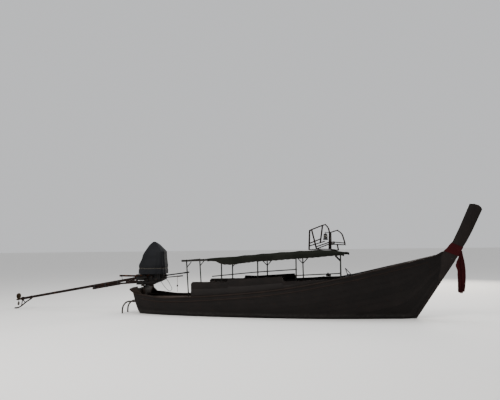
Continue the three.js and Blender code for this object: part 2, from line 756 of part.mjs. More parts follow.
const RIBBON_OUTLINE = [
  [5765.6, 1811.7], [5868.6, 2011.7], [5905, 1990], [5926, 1800], [5932, 1573], [5925, 994],
  [5895, 880], [5830, 748], [5700, 770], [5672, 860], [5665, 1430], [5650, 1574], [5700, 1740],
];
const prowRibbon = () => plate(RIBBON_OUTLINE, -34, 34);

// The socket bolted to the stern beam, and the yoke that turns in it.
function pivotSocket() {
  const body = rod(vec(PIVOT_X, 0, STERN_BEAM_TOP + GAP), vec(PIVOT_X, 0, SOCKET_TOP), 62, 24);
  const flange = box(
    PIVOT_X - 85, PIVOT_X + 85, -110, 110, STERN_BEAM_TOP + GAP, STERN_BEAM_TOP + 12,
  );
  const bore = rod(vec(PIVOT_X, 0, STERN_BEAM_TOP - 5), vec(PIVOT_X, 0, SOCKET_TOP + 5), 24.5, 24);
  return join([body, flange]).subtract(bore);
}

function swivelYoke() {
  const base = box(PIVOT_X - 75, PIVOT_X + 75, -172, 172, SOCKET_TOP + 0.6, SOCKET_TOP + 16);
  const pin = rod(vec(PIVOT_X, 0, STERN_BEAM_TOP + 4), vec(PIVOT_X, 0, SOCKET_TOP + 8), 24, 24);
  const ears = [-1, 1].map((side) => {
    const [y0, y1] = side > 0 ? [152, 168] : [-168, -152];
    const outline = [
      [PIVOT_X - 70, SOCKET_TOP + 8], [PIVOT_X + 70, SOCKET_TOP + 8],
      [PIVOT_X + 34, TRUNNION_Z + 36], [PIVOT_X - 34, TRUNNION_Z + 36],
    ];
    return plate(outline, y0, y1);
  });
  const hole = rod(vec(PIVOT_X, -200, TRUNNION_Z), vec(PIVOT_X, 200, TRUNNION_Z), 14.5, 20);
  return join([base, pin, ...ears]).subtract(hole);
}

// The engine's bed: two rails, cross members, the trunnion pin and the front plate.
function engineBed() {
  const rail = (y0, y1) =>
    plate(
      [
        [-4720, BED_BOTTOM], [-4157, BED_BOTTOM], [-4030, 990], [-3880, 1040],
        [-3700, BED_FRONT], [-3700, 1170], [-3792, 1170], [-3792, 1116], [-3896, 1116],
        [-3896, BED_TOP], [-4720, BED_TOP],
      ],
      y0,
      y1,
    );
  return join([
    rail(-BED_HALF_WIDTH, -BED_HALF_WIDTH + 40),
    rail(BED_HALF_WIDTH - 40, BED_HALF_WIDTH),
    box(-4720, -4680, -110, 110, 950, BED_TOP),
    box(-4250, -4210, -110, 110, 950, BED_TOP),
    box(-3735, -3700, -BED_HALF_WIDTH, BED_HALF_WIDTH, BED_FRONT, 1290),
    rod(vec(PIVOT_X, -180, TRUNNION_Z), vec(PIVOT_X, 180, TRUNNION_Z), 14, 20),
  ]);
}

// The engine: block, sump, shaft housing, radiator and the air stack that carries the hood's peak.
const HOOD_CEILING = 2070;
const HOUSING_AFT = -4748;

function engineBlock() {
  return join([
    box(-4460, -3800, -165, 165, BLOCK_BOTTOM, 1640),
    box(-4430, -3900, -130, 130, BED_TOP + GAP, BLOCK_BOTTOM + 20),
    box(HOUSING_AFT, -4450, -120, 120, 1085, 1285),
    box(-3810, -3730, -100, 100, 1480, 1640),
    box(-3780, -3722, -150, 150, 1291, 2000),
    rod(vec(-4080, 0, 1630), vec(-4080, 0, HOOD_CEILING - GAP), 45, 12),
  ]);
}

// The hood over the engine. Columns: z, aft x, forward x, half width.
const HOOD = [
  [COVER_BOTTOM, -4655, -3625, 330],
  [1480, -4645, -3632, 340],
  [1610, -4640, -3640, 338],
  [1830, -4525, -3662, 292],
  [1950, -4492, -3672, 278],
  [HOOD_CEILING, -4420, -3672, 250],
  [2200, -4330, -3800, 185],
  [2300, -4260, -3895, 118],
  [2370, -4180, -3995, 62],
  [2407, -4120, -4075, 18],
];

function roundedRing(z, x0, x1, halfWidth, inset) {
  const middle = (x0 + x1) / 2;
  const reach = (x1 - x0) / 2 - inset;
  return Array.from({ length: 20 }, (_, i) => {
    const angle = (i * Math.PI) / 10;
    const squared = (value) => Math.sign(value) * Math.abs(value) ** 0.55;
    const x = middle + reach * squared(Math.cos(angle));
    return vec(x, (halfWidth - inset) * squared(Math.sin(angle)), z);
  });
}

function engineCover() {
  const outside = loft(HOOD.map(([z, x0, x1, w]) => roundedRing(z, x0, x1, w, 0)));
  const rows = HOOD.filter(([z]) => z <= HOOD_CEILING);
  const low = roundedRing(COVER_BOTTOM - 20, HOOD[0][1], HOOD[0][2], HOOD[0][3], 14);
  const inside = loft([low, ...rows.map(([z, x0, x1, w]) => roundedRing(z, x0, x1, w, 14))]);
  return outside.subtract(inside);
}

// The shaft's axis: a point at any x, with offsets sideways and across the shaft.
const shaftHeight = (x) => SHAFT_Z + SHAFT_SLOPE * (x - SHAFT_X);
const shaftPoint = (x, y = 0, drop = 0) => vec(x, y, shaftHeight(x) - drop);

function tailTube() {
  const outside = join([
    rod(shaftPoint(TUBE_START), shaftPoint(TUBE_END), TUBE_RADIUS, 14),
    rod(shaftPoint(TUBE_START), shaftPoint(TUBE_START - 90), FLANGE_RADIUS, 16),
    rod(shaftPoint(TUBE_END + 110), shaftPoint(TUBE_END), SLEEVE_RADIUS, 14),
  ]);
  const bore = rod(shaftPoint(TUBE_START - 30), shaftPoint(TUBE_END + 80), TUBE_RADIUS - 6, 12);
  const bush = rod(shaftPoint(TUBE_END + 90), shaftPoint(TUBE_END - 10), BUSH_RADIUS, 12);
  return outside.subtract(bore).subtract(bush);
}

// A stay clamped under the tube, its brace to the engine's bed, and the web that joins brace and tube.
function tailStay() {
  const drop = TUBE_RADIUS + STAY_RADIUS + 0.6;
  const [braceAft, braceFront] = [shaftPoint(-5430, 0, drop), vec(-4724, 0, 1006)];
  const brace = (x) =>
    braceAft.z + ((braceFront.z - braceAft.z) * (x - braceAft.x)) / (braceFront.x - braceAft.x);
  const under = (x, radius) => shaftHeight(x) - radius * Math.hypot(1, SHAFT_SLOPE) - 0.8;
  const web = [
    [-5210, brace(-5210)], [-4735, brace(-4735)], [-4735, 1081], [-4765, 1081],
    [-4850, under(-4850, FLANGE_RADIUS)], [-4864, under(-4864, TUBE_RADIUS)],
    [-5210, under(-5210, TUBE_RADIUS)],
  ];
  return join([
    rod(shaftPoint(-6500, 0, drop), shaftPoint(-5420, 0, drop), STAY_RADIUS, 12),
    ball(shaftPoint(-6500, 0, drop), STAY_RADIUS),
    rod(braceAft, braceFront, STAY_BRACE_RADIUS, 12),
    plate(web, -5, 5),
  ]);
}

// The guard fin below the propeller, on a collar round the tube and one round its end sleeve.
const COLLAR_WALL = 8;
const FIN_RADIUS = 25;
const STRUT_RADIUS = 18;

function skeg() {
  const collar = (x, radius) => rod(shaftPoint(x + 30), shaftPoint(x - 30), radius + COLLAR_WALL, 14);
  const under = (x, radius) => vec(x, 0, shaftHeight(x) - radius - COLLAR_WALL + 3);
  const tubeBore = rod(shaftPoint(-9000), shaftPoint(-9445), TUBE_RADIUS + 0.6, 14);
  const sleeveBore = rod(shaftPoint(-9440), shaftPoint(-9575), SLEEVE_RADIUS + 0.6, 14);
  const fin = [
    under(-9110, TUBE_RADIUS), vec(-9350, 0, 267), vec(-9560, 0, 110), vec(-9690, 0, 49), vec(-9860, 0, 33),
  ];
  const struts = [
    rod(under(-9492, SLEEVE_RADIUS), vec(-9391, 0, 240), STRUT_RADIUS, 8),
    rod(under(-9518, SLEEVE_RADIUS), vec(-9562, 0, 116), STRUT_RADIUS, 8),
  ];
  return join([collar(-9120, TUBE_RADIUS), collar(-9505, SLEEVE_RADIUS), bentRod(fin, FIN_RADIUS), ...struts])
    .subtract(tubeBore)
    .subtract(sleeveBore);
}

// A two-bladed propeller: hub, cone and twisted blades.
const PROP_X = -9690;
const PROP_RADIUS = 225;

function propeller() {
  const hub = rod(shaftPoint(TUBE_END - 0.8), shaftPoint(PROP_X - 60), 34, 16);
  const cone = rod(shaftPoint(PROP_X - 60), shaftPoint(PROP_X - 120), 34, 16, 8);
  const blade = (way) => {
    const stations = [
      [20, 45, 48], [70, 78, 31], [130, 99, 18], [185, 85, 13], [PROP_RADIUS, 40, 10],
    ];
    return loft(
      stations.map(([r, halfChord, pitch]) => {
        const angle = (pitch * Math.PI) / 180;
        const corners = [[-halfChord, -2], [0, -7], [halfChord, -2], [halfChord, 2], [0, 7], [-halfChord, 2]];
        return corners.map(([u, w]) => {
          const across = u * Math.cos(angle) - w * Math.sin(angle);
          const along = u * Math.sin(angle) + w * Math.cos(angle);
          return vec(PROP_X + along * way, across * way * way, shaftHeight(PROP_X) + way * r);
        });
      }),
    );
  };
  return join([hub, cone, blade(1), blade(-1)]);
}

// Steering and controls.
const tillerBar = () => rod(vec(-3697, 30, 1246), vec(-2820, 30, 1356), 22, 10);
const throttleLever = () =>
  join([
    rod(vec(-3698, -60, 1180), vec(-3180, -60, 1226), 17, 10),
    rod(vec(-3190, -60, 1225.1), vec(-3011, -60, 1241), 23, 10),
  ]);

const EXHAUST_Y = -87;
const EXHAUST_RADIUS = 32;

function exhaustPipe() {
  const pipe = rod(vec(HOUSING_AFT - 1.8, EXHAUST_Y, 1233), vec(-5395, EXHAUST_Y, 1240), EXHAUST_RADIUS, 12);
  const x = -5330;
  const at = (r) => {
    const across = vec(0, EXHAUST_Y, 1239 - shaftHeight(x)).normalize().multiplyScalar(r);
    return vec(x, across.y, shaftHeight(x) + across.z);
  };
  return join([pipe, rod(vec(x, EXHAUST_Y, 1239), at(TUBE_RADIUS + 1), 9, 8)]);
}

// Hose loop under the engine's front and the tiller's tie rope, each hanging from the moving engine.
const HOSE_RADIUS = 8;
const HOSE_POINTS = [
  [-3850, 0, BLOCK_BOTTOM - 0.2], [-3850, 0, 1050], [-3800, 0, 965], [-3735, 0, 888], [-3670, 0, 812],
  [-3605, 0, 755], [-3535, 0, 728], [-3475, 0, 745], [-3450, 0, 800], [-3475, 0, 870],
  [-3520, 0, 950], [-3575, 0, 1040], [-3632, 0, 1112], [-3672, 0, 1140], [-3699.2, 0, 1140],
];
const ROPE_RADIUS = 6;
const ROPE_TOP = 1205.4;
const ROPE_END = 708;
const ROPE_X = -3216;
const TOGGLE_Z = 908;

const hoseLoop = () => tube(HOSE_POINTS.map(([x, y, z]) => vec(x, y, z)), HOSE_RADIUS, 42, 8);
const tieRope = () =>
  join([
    rod(vec(ROPE_X, -60, ROPE_END), vec(ROPE_X, -60, ROPE_TOP), ROPE_RADIUS, 8),
    ball(vec(ROPE_X, -60, TOGGLE_Z), 28),
  ]);

// Assembly
const boat = new THREE.Group();
boat.name = "longtail_boat";

function add(name, made, finish) {
  const material = new THREE.MeshStandardMaterial(MATERIALS[finish]);
  const mesh = new THREE.Mesh(geometryOf(made), material);
  mesh.name = name;
  boat.add(mesh);
}

add("hull_planking", hullPlanking(), "hullPaint");
add("keel", keel(), "hullPaint");
add("stem_prow", stemProw(), "timber");
add("transom", transom(), "hullPaint");
add("stern_beam", sternBeam(), "timber");
add("foredeck", foredeck(), "deckWood");
add("aft_deck", aftDeck(), "deckWood");
add("sole", sole(), "deckWood");
add("aft_bulkhead", aftBulkhead(), "timber");
add("fore_bulkhead", foreBulkhead(), "timber");
[["port", 1], ["starboard", -1]].forEach(([side, way]) => {
  add("gunwale_" + side, gunwale(way), "timber");
  add("weatherboard_" + side, weatherboard(way), "hullPaint");
  add("frames_" + side, frames(way), "timber");
  add("canopy_rail_" + side, canopyRail(way), "framePaint");
});
THWARTS.forEach((x, i) => add("thwart_" + (i + 1), thwart(x), "deckWood"));
POSTS.forEach((row, i) => add("post_" + row[0] + "_" + ((i % 5) + 1), post(row), "framePaint"));
add("canopy_bows", canopyBows(), "framePaint");
add("canopy_cover", canopyCover(), "canopyCloth");
add("side_rail_aft", sideRailAft(), "timber");
add("side_rail_fore", sideRailFore(), "timber");
add("roof_ladder", roofLadder(), "steel");
add("roof_post", roofPost(), "paintedSteel");
add("stern_ladder", sternLadder(), "steel");
add("anchor", anchor(), "steel");
add("bitt_port", bitt(), "timber");
add("prow_wrap", prowWrap(), "sash");
add("prow_ribbon", prowRibbon(), "sash");
add("pivot_socket", pivotSocket(), "paintedSteel");
add("swivel_yoke", swivelYoke(), "paintedSteel");
add("engine_bed", engineBed(), "paintedSteel");
add("engine_block", engineBlock(), "castIron");
add("engine_cover", engineCover(), "tarp");
add("tiller_bar", tillerBar(), "paintedSteel");
add("throttle_lever", throttleLever(), "paintedSteel");
add("exhaust_pipe", exhaustPipe(), "castIron");
add("tail_tube", tailTube(), "paintedSteel");
add("tail_stay", tailStay(), "paintedSteel");
add("skeg", skeg(), "paintedSteel");
add("propeller", propeller(), "bronze");
add("hose_loop", hoseLoop(), "rubber");
add("tie_rope", tieRope(), "sash");

export default boat;
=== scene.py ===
# %% [markdown]
# # A longtail boat, dressed in Blender
# The boat's solids come ready-made: planking, decks, posts, rails, the pivoted engine and its long shaft,
# each at its real size in metres. This lesson gives them their looks. +X is forward, +Y is to port, +Z is
# up, and the water's surface is z = 0.

# %% Load the boat's solids
from itertools import accumulate
from math import asin, atan, atan2, copysign, cos, exp, hypot, pi, radians, sin, sqrt, tau

import bmesh
import bpy
from mathutils import Matrix, Vector, noise


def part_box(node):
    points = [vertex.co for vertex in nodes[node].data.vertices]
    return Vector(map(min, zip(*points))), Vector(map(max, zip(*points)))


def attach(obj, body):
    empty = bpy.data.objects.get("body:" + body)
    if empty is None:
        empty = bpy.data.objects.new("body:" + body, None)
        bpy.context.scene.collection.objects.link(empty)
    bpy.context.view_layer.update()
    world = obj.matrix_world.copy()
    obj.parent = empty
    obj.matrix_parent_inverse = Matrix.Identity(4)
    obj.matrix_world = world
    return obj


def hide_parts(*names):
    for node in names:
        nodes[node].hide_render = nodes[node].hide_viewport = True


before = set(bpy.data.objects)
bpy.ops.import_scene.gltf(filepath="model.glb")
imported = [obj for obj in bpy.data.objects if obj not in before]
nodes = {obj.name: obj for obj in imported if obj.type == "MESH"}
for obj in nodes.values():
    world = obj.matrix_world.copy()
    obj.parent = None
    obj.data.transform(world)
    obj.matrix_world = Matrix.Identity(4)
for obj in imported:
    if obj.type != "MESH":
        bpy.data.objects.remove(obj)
bpy.ops.object.select_all(action="DESELECT")
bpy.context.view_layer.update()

# %% [markdown]
# ## Camera
# The view is from another small boat, with the eye 2.35 m over the water, a little forward of the starboard
# beam. A fitted camera gave its place, pitch and roll. A camera can be aimed by a constraint, but a matrix
# built from three directions says the roll exactly.

# %% Camera
IMAGE_WIDTH = 500
FOCAL_PIXELS = 558.42
SENSOR_WIDTH = 36.0
EYE = Vector((4.78, -17.506, 2.35))
HEADING = radians(17.14)
PITCH = radians(4.27)
ROLL = radians(0.918)

level = Vector((-sin(HEADING), cos(HEADING), 0))
right = Vector((cos(HEADING), sin(HEADING), 0))
aim = level * cos(PITCH) + Vector((0, 0, sin(PITCH)))
up = right.cross(aim)
rolled_right = right * cos(ROLL) - up * sin(ROLL)
rolled_up = up * cos(ROLL) + right * sin(ROLL)
turn = Matrix((rolled_right, rolled_up, -aim)).transposed().to_4x4()

bpy.ops.object.camera_add()
camera = bpy.context.object
camera.name = "camera"
camera.data.sensor_width = SENSOR_WIDTH
camera.data.lens = FOCAL_PIXELS / IMAGE_WIDTH * SENSOR_WIDTH
camera.data.clip_end = 400
camera.matrix_world = Matrix.Translation(EYE) @ turn
bpy.context.scene.camera = camera
print("lens:", round(camera.data.lens, 1), "mm")

# %% [markdown]
# ## Floor and light
# A pale floor lies at the waterline, where the real boat floats, so the hull's lower part is under it. One
# large soft lamp stands over the camera's left shoulder, one hangs overhead, and a weaker one from behind
# draws the edges.

# %% Floor, sky and lamps
def mesh_object(name):
    """The active object, renamed, with its mesh named after it."""
    made = bpy.context.object
    made.name = name
    made.data.name = name
    return made

bpy.ops.mesh.primitive_plane_add(size=260, location=(0, 0, 0))
floor = mesh_object("floor")
floor_paint = bpy.data.materials.new("pale_floor")
floor_paint.use_nodes = True
floor_shader = floor_paint.node_tree.nodes["Principled BSDF"]
floor_shader.inputs["Base Color"].default_value = (0.8, 0.79, 0.77, 1)
floor_shader.inputs["Roughness"].default_value = 0.85
floor.data.materials.append(floor_paint)

world = bpy.data.worlds.new("studio")
bpy.context.scene.world = world
world.use_nodes = True
world.node_tree.nodes["Background"].inputs["Color"].default_value = (0.93, 0.94, 0.96, 1)
world.node_tree.nodes["Background"].inputs["Strength"].default_value = 0.75

def soft_lamp(name, place, target, size, watts, colour):
    """A square area lamp at a place, turned towards a target."""
    bpy.ops.object.light_add(type="AREA", location=place)
    lamp = bpy.context.object
    lamp.name = name
    lamp.data.shape = "SQUARE"
    lamp.data.size = size
    lamp.data.energy = watts
    lamp.data.color = colour
    lamp.rotation_euler = (Vector(target) - Vector(place)).to_track_quat("-Z", "Y").to_euler()

soft_lamp("key", (-6, -14, 12), (0, 0, 0.8), 9, 2600, (1.0, 0.97, 0.93))
soft_lamp("overhead", (2, 2, 14), (0, 0, 0), 12, 1500, (0.96, 0.98, 1.0))
soft_lamp("rim", (6, 15, 7), (0, 0, 1), 7, 1500, (1.0, 0.94, 0.86))

# %% [markdown]
# ## Finishes as expressions
# A finish is a small network of nodes. Wiring each by hand hides the idea, so a node's output is wrapped
# in a class with arithmetic: `1 - wear` adds the Math node by itself. Colours and vectors have nodes of
# their own, because a Math node would turn a colour grey.

# %% Sockets with arithmetic, and a finish that makes nodes
class Reading:
    """One output of a shader node; arithmetic on it adds Math nodes."""

    def __init__(self, finish, output):
        self.finish = finish
        self.output = output

    def maths(self, operation, *values):
        return self.finish.node("ShaderNodeMath", {"operation": operation}, dict(enumerate(values)))

    def __sub__(self, other):
        return self.maths("SUBTRACT", self, other)

    def __rsub__(self, other):
        return self.maths("SUBTRACT", other, self)

    def __gt__(self, other):
        return self.maths("GREATER_THAN", self, other)

    def __lt__(self, other):
        return self.maths("LESS_THAN", self, other)

    __add__ = __radd__ = lambda self, other: self.maths("ADD", self, other)
    __mul__ = __rmul__ = lambda self, other: self.maths("MULTIPLY", self, other)


class Finish:
    """A material: its Principled shader, and one method that makes any other node."""

    def __init__(self, name, **constants):
        self.material = bpy.data.materials.new(name)
        self.material.use_nodes = True
        self.tree = self.material.node_tree
        self.shader = self.tree.nodes["Principled BSDF"]
        for socket, value in constants.items():
            self.shader.inputs[socket.replace("_", " ")].default_value = value

    def node(self, kind, settings=None, values=None, output=0):
        made = self.tree.nodes.new(kind)
        for setting, value in (settings or {}).items():
            if setting == "stops":
                stops = made.color_ramp.elements
                while len(stops) < len(value):
                    stops.new(0.5)
                for stop, (position, colour) in zip(stops, value):
                    stop.position = position
                    stop.color = colour if isinstance(colour, tuple) else (colour, colour, colour, 1)
            else:
                setattr(made, setting, value)
        for key, value in (values or {}).items():
            if isinstance(value, Reading):
                self.tree.links.new(value.output, made.inputs[key])
            else:
                made.inputs[key].default_value = value
        return Reading(self, made.outputs[output])

    def place(self, scale=(1, 1, 1), source="Object"):
        where = self.node("ShaderNodeTexCoord", output=source)
        return self.node("ShaderNodeMapping", {}, {"Vector": where, "Scale": scale})

    def axis(self, name, source="Object"):
        where = self.node("ShaderNodeTexCoord", output=source)
        return self.node("ShaderNodeSeparateXYZ", {}, {0: where}, output=name)

    def speckle(self, scale, stretch=(1, 1, 1), detail=4.0, rough=0.55, warp=0.0):
        values = {"Vector": self.place(stretch), "Scale": scale, "Detail": detail, "Roughness": rough,
                  "Distortion": warp}
        return self.node("ShaderNodeTexNoise", {}, values)

    def ramp(self, reading, *stops):
        return self.node("ShaderNodeValToRGB", {"stops": stops}, {0: reading})

    def band(self, reading, low, high):
        """0 below low, 1 above high, and smooth between them."""
        settings = {"interpolation_type": "SMOOTHSTEP"}
        return self.node("ShaderNodeMapRange", settings, {"Value": reading, 1: low, 2: high})

    def blend(self, share, first, second):
        return self.node("ShaderNodeMix", {"data_type": "RGBA"}, {0: share, 6: first, 7: second}, output=2)

    def relief(self, height, distance, strength):
        return self.node("ShaderNodeBump", {}, {"Height": height, "Distance": distance, "Strength": strength})

    def show(self, **links):
        for socket, reading in links.items():
            self.tree.links.new(reading.output, self.shader.inputs[socket.replace("_", " ")])
        return self.material


def rgb(*thousandths):
    """A colour in thousandths of full light. The colours are near black partly from the boat's own tar, stain
    and paint, and partly as painted shade, as dark as the boat seen against the light.
    """
    return (*(value / 1000 for value in thousandths), 1)


finishes = {}
print("a finish is ready to be mixed")

# %% [markdown]
# ## Painted and oiled wood
# The planks, rails and decks are oiled or tarred hardwood. Wood has long grain, so the noise is stretched
# along the boat. Rubbed places are paler, and a pale line of dried salt over a dark wet band runs round the
# waterline. An image of real wood would repeat over eleven metres, which noise does not.

# %% Wood finishes
def wood(name, dark, pale, along="x", gloss=0.5, wear=0.35, waterline=False, uv_planks=False):
    """Long-grained wood with rubbed places; along is the axis of the grain."""
    finish = Finish(name, Specular_IOR_Level=0.12)
    stretch = {"x": (0.07, 1, 1), "y": (1, 0.07, 1), "z": (1, 1, 0.07)}[along]
    grain = finish.speckle(55, stretch, detail=6, rough=0.62, warp=0.35)
    broad = finish.speckle(2.1, detail=3)
    fine = finish.speckle(260, stretch, detail=2)
    tone = grain * 0.62 + broad * 0.45 - 0.08
    colour = finish.ramp(tone, (0.3, dark), (0.72, pale))
    rubbed = finish.band(finish.speckle(7, (0.4, 1, 1), detail=6, rough=0.7), 0.56, 0.72) * wear
    worn = tuple(min(1, c * 1.9 + 0.004) for c in pale[:3]) + (1,)
    colour = finish.blend(rubbed, colour, worn)
    rough = gloss + grain * 0.22 + rubbed * 0.2
    height = grain * 0.6 + fine * 0.4
    if uv_planks:
        along_plank = finish.axis("X", "UV")
        across = finish.axis("Y", "UV")
        number = across.maths("FLOOR", across)
        shade = finish.node("ShaderNodeTexWhiteNoise", {"noise_dimensions": "1D"}, {"W": number})
        butt = along_plank * 0.34 + shade * 7.3
        joint = butt.maths("FRACT", butt) < 0.0016
        colour = finish.blend(shade * 0.5, colour, (dark[0] * 0.55, dark[1] * 0.55, dark[2] * 0.5, 1))
        colour = finish.blend(joint * 0.85, colour, rgb(4, 3, 3))
        height = height - joint * 2
    if waterline:
        level = finish.axis("Z") + (finish.speckle(3.2, (1, 1, 0.3)) - 0.5) * 0.05
        wet = 1 - finish.band(level, 0.035, 0.07)
        salt = finish.band(level, 0.05, 0.085) * (1 - finish.band(level, 0.09, 0.19))
        salt = salt * finish.band(finish.speckle(38, detail=5), 0.42, 0.68)
        weed = (1 - finish.band(level, -0.16, 0.03)) * finish.band(finish.speckle(14, detail=5), 0.4, 0.62)
        colour = finish.blend(wet * 0.7, colour, rgb(3, 3, 2.5))
        colour = finish.blend(salt * 0.22, colour, rgb(120, 115, 105))
        colour = finish.blend(weed * 0.55, colour, rgb(12, 18, 9))
        rough = rough - wet * 0.22 + salt * 0.2
    normal = finish.relief(height, 0.0016, 0.55)
    finishes[name] = finish.show(Base_Color=colour, Roughness=rough, Normal=normal)


# These wood colours are partly painted shade: the tar, oil and paint are dark, and are made darker still, as
# dark as the boat seen against the light.
BLACK_PAINT_AND_SHADE = rgb(4.5, 3.6, 3.4)
wood("hull_paint", BLACK_PAINT_AND_SHADE, rgb(12.5, 9.2, 8), waterline=True, uv_planks=True, wear=0.25)
wood("tarred_wood", BLACK_PAINT_AND_SHADE, rgb(14, 10, 8.2), waterline=True, wear=0.28)
wood("oiled_timber", rgb(6, 3.6, 2.8), rgb(16.5, 9.8, 6.6), gloss=0.46)
wood("prow_timber", rgb(4.6, 3.4, 3.1), rgb(13, 8.6, 7), along="z", gloss=0.44)
wood("cross_timber", rgb(7, 4.3, 3.2), rgb(19, 11.5, 7.6), along="y", gloss=0.48)
wood("deck_boards", rgb(16, 10.5, 7.4), rgb(45, 29, 19), gloss=0.62, wear=0.4)
wood("seat_boards", rgb(17, 11, 7.6), rgb(48, 31, 20), along="y", gloss=0.58, wear=0.45)
wood("frame_paint", rgb(5.2, 6, 5.4), rgb(14, 13, 11), along="z", gloss=0.45, wear=0.3)
wood("roof_frame", rgb(5.6, 6, 5.4), rgb(15, 13, 10.5), along="y", gloss=0.5, wear=0.3)
wood("rail_paint", rgb(5.6, 6, 5.4), rgb(15, 13, 10.5), along="x", gloss=0.45, wear=0.35)
print("wood finishes:", sorted(finishes))

# %% [markdown]
# ## Metal
# Painted steel near salt water chips at its edges and rusts in the chips, cast iron rusts all over, and
# bronze and zinc go dull. One recipe serves them all: a coat, a second tone, and patches where the coat has
# gone.

# %% Metal finishes
def metal(name, coat, second, bare, metallic=0.0, gloss=0.4, gone=0.6, patch_scale=9, pitted=0.5):
    """A coat with a second tone, and patches of bare or rusty metal where it has gone."""
    finish = Finish(name, Specular_IOR_Level=0.06)
    cloud = finish.speckle(3.5, detail=5, rough=0.6)
    chips = finish.speckle(patch_scale, detail=8, rough=0.72, warp=0.4)
    grit = finish.speckle(160, detail=4)
    patch = finish.band(chips, gone, gone + 0.05)
    streak = finish.speckle(26, (1, 1, 0.12), detail=4)
    run = finish.band(streak, 0.55, 0.75) * finish.band(chips, gone - 0.09, gone)
    colour = finish.blend(cloud, coat, second)
    colour = finish.blend(run * 0.4, colour, bare)
    deep = (bare[0] * 1.7, bare[1] * 1.4, bare[2], 1)
    colour = finish.blend(patch, colour, finish.blend(grit, bare, deep))
    rough = gloss + grit * 0.12 + patch * 0.38 + run * 0.1
    shine = metallic * (1 - patch * 0.8)
    normal = finish.relief(grit * (0.25 + pitted * patch) - patch * 0.9, 0.0009, 0.7)
    finishes[name] = finish.show(Base_Color=colour, Roughness=rough, Metallic=shine, Normal=normal)


# These metal colours are partly painted shade: the paint, rust, iron and bronze are darkened to near black,
# as the boat looks against the light.
RUST = rgb(34, 12.5, 6.2)
metal("painted_steel", rgb(6, 5.6, 5.6), rgb(11.5, 10, 9.5), RUST)
metal("tube_paint", rgb(7, 4.6, 4.2), rgb(14, 8.2, 6.6), RUST, gone=0.59, patch_scale=6)
metal("galvanised", rgb(40, 40, 42), rgb(24, 24, 26), RUST, metallic=0.6, gloss=0.5, gone=0.58)
metal("engine_casting", rgb(15, 15.2, 15.2), rgb(8, 8, 8), rgb(24, 14, 9),
      metallic=0.2, gloss=0.5, gone=0.56, patch_scale=14)
metal("scaled_iron", rgb(15, 9.5, 7), rgb(8, 6, 5), RUST, metallic=0.2, gloss=0.62, gone=0.5)
metal("propeller_bronze", rgb(40, 26, 14), rgb(22, 16, 11), rgb(9, 16, 12),
      metallic=0.8, gloss=0.36, patch_scale=12, pitted=0.2)
metal("bolt_steel", rgb(30, 29, 28), rgb(18, 17, 16), RUST, metallic=0.5, gloss=0.45,
      gone=0.53, patch_scale=30)
print("finishes so far:", len(finishes))

# %% [markdown]
# ## Cloth, rope and rubber
# The canopy is coated canvas, the engine's hood a woven plastic sheet, and the prow's cloths are dyed
# cotton. A weave is two sets of threads that cross, made from two wave textures in the piece's own UV map,
# so it follows the folds. Rope shows its strands, a slanted wave round it. Rubber is matt and dusty.

# %% Cloth, rope and rubber finishes
def cloth(name, dark, pale, threads, gloss, sheen, shine=0.05, seam_every=0.0, stain=rgb(20, 18, 16)):
    """Woven cloth on the piece's UV map, which is in metres."""
    finish = Finish(name, Specular_IOR_Level=shine, Sheen_Weight=sheen, Sheen_Roughness=0.5)
    weave = []
    for way in ("X", "Y"):
        settings = {"wave_type": "BANDS", "bands_direction": way, "wave_profile": "SIN"}
        values = {"Vector": finish.place(source="UV"), "Scale": threads, "Distortion": 0.4, "Detail": 1}
        weave.append(finish.node("ShaderNodeTexWave", settings, values, output=1))
    thread = weave[0].maths("MAXIMUM", weave[0], weave[1])
    fade = finish.speckle(1.3, detail=5, rough=0.6)
    crumple = finish.speckle(9, detail=5, rough=0.55, warp=0.8)
    blotch = finish.band(finish.speckle(5.5, detail=6, rough=0.7), 0.58, 0.74)
    colour = finish.blend(finish.band(fade, 0.3, 0.7), dark, pale)
    colour = finish.blend(thread * 0.35, colour, tuple(c * 1.5 for c in pale[:3]) + (1,))
    colour = finish.blend(blotch * 0.25, colour, stain)
    height = thread * 0.12 + crumple * 0.9
    if seam_every:
        u = finish.axis("X", "UV")
        lane = u * (1 / seam_every)
        lane = lane.maths("FRACT", lane)
        width = 0.02 / seam_every
        seam = finish.band(lane, 0, width * 0.2) * (1 - finish.band(lane, width, width * 1.2))
        stitch = u.maths("SINE", finish.axis("Y", "UV") * 900) > 0
        height = height + seam * 0.8 - stitch * (1 - finish.band(lane, 0, width * 0.25)) * 0.4
        colour = finish.blend(seam * 0.3, colour, dark)
    rough = gloss + thread * 0.08 + blotch * 0.08 - crumple * 0.1
    normal = finish.relief(height, 0.004, 0.5)
    finishes[name] = finish.show(Base_Color=colour, Roughness=rough, Normal=normal)


def twisted(name, first, second, turns, gloss=0.8):
    """Rope: slanted strands on a UV map whose first axis runs along the rope, in metres."""
    finish = Finish(name)
    along = finish.axis("X", "UV") * turns + finish.axis("Y", "UV") * 3
    strand = along.maths("SINE", along * tau) * 0.5 + 0.5
    dirt = finish.speckle(30, detail=4)
    colour = finish.blend(strand, first, second)
    colour = finish.blend(finish.band(dirt, 0.5, 0.75) * 0.5, colour, rgb(20, 16, 14))
    normal = finish.relief(strand, 0.0015, 0.9)
    finishes[name] = finish.show(Base_Color=colour, Roughness=gloss - strand * 0.1, Normal=normal)


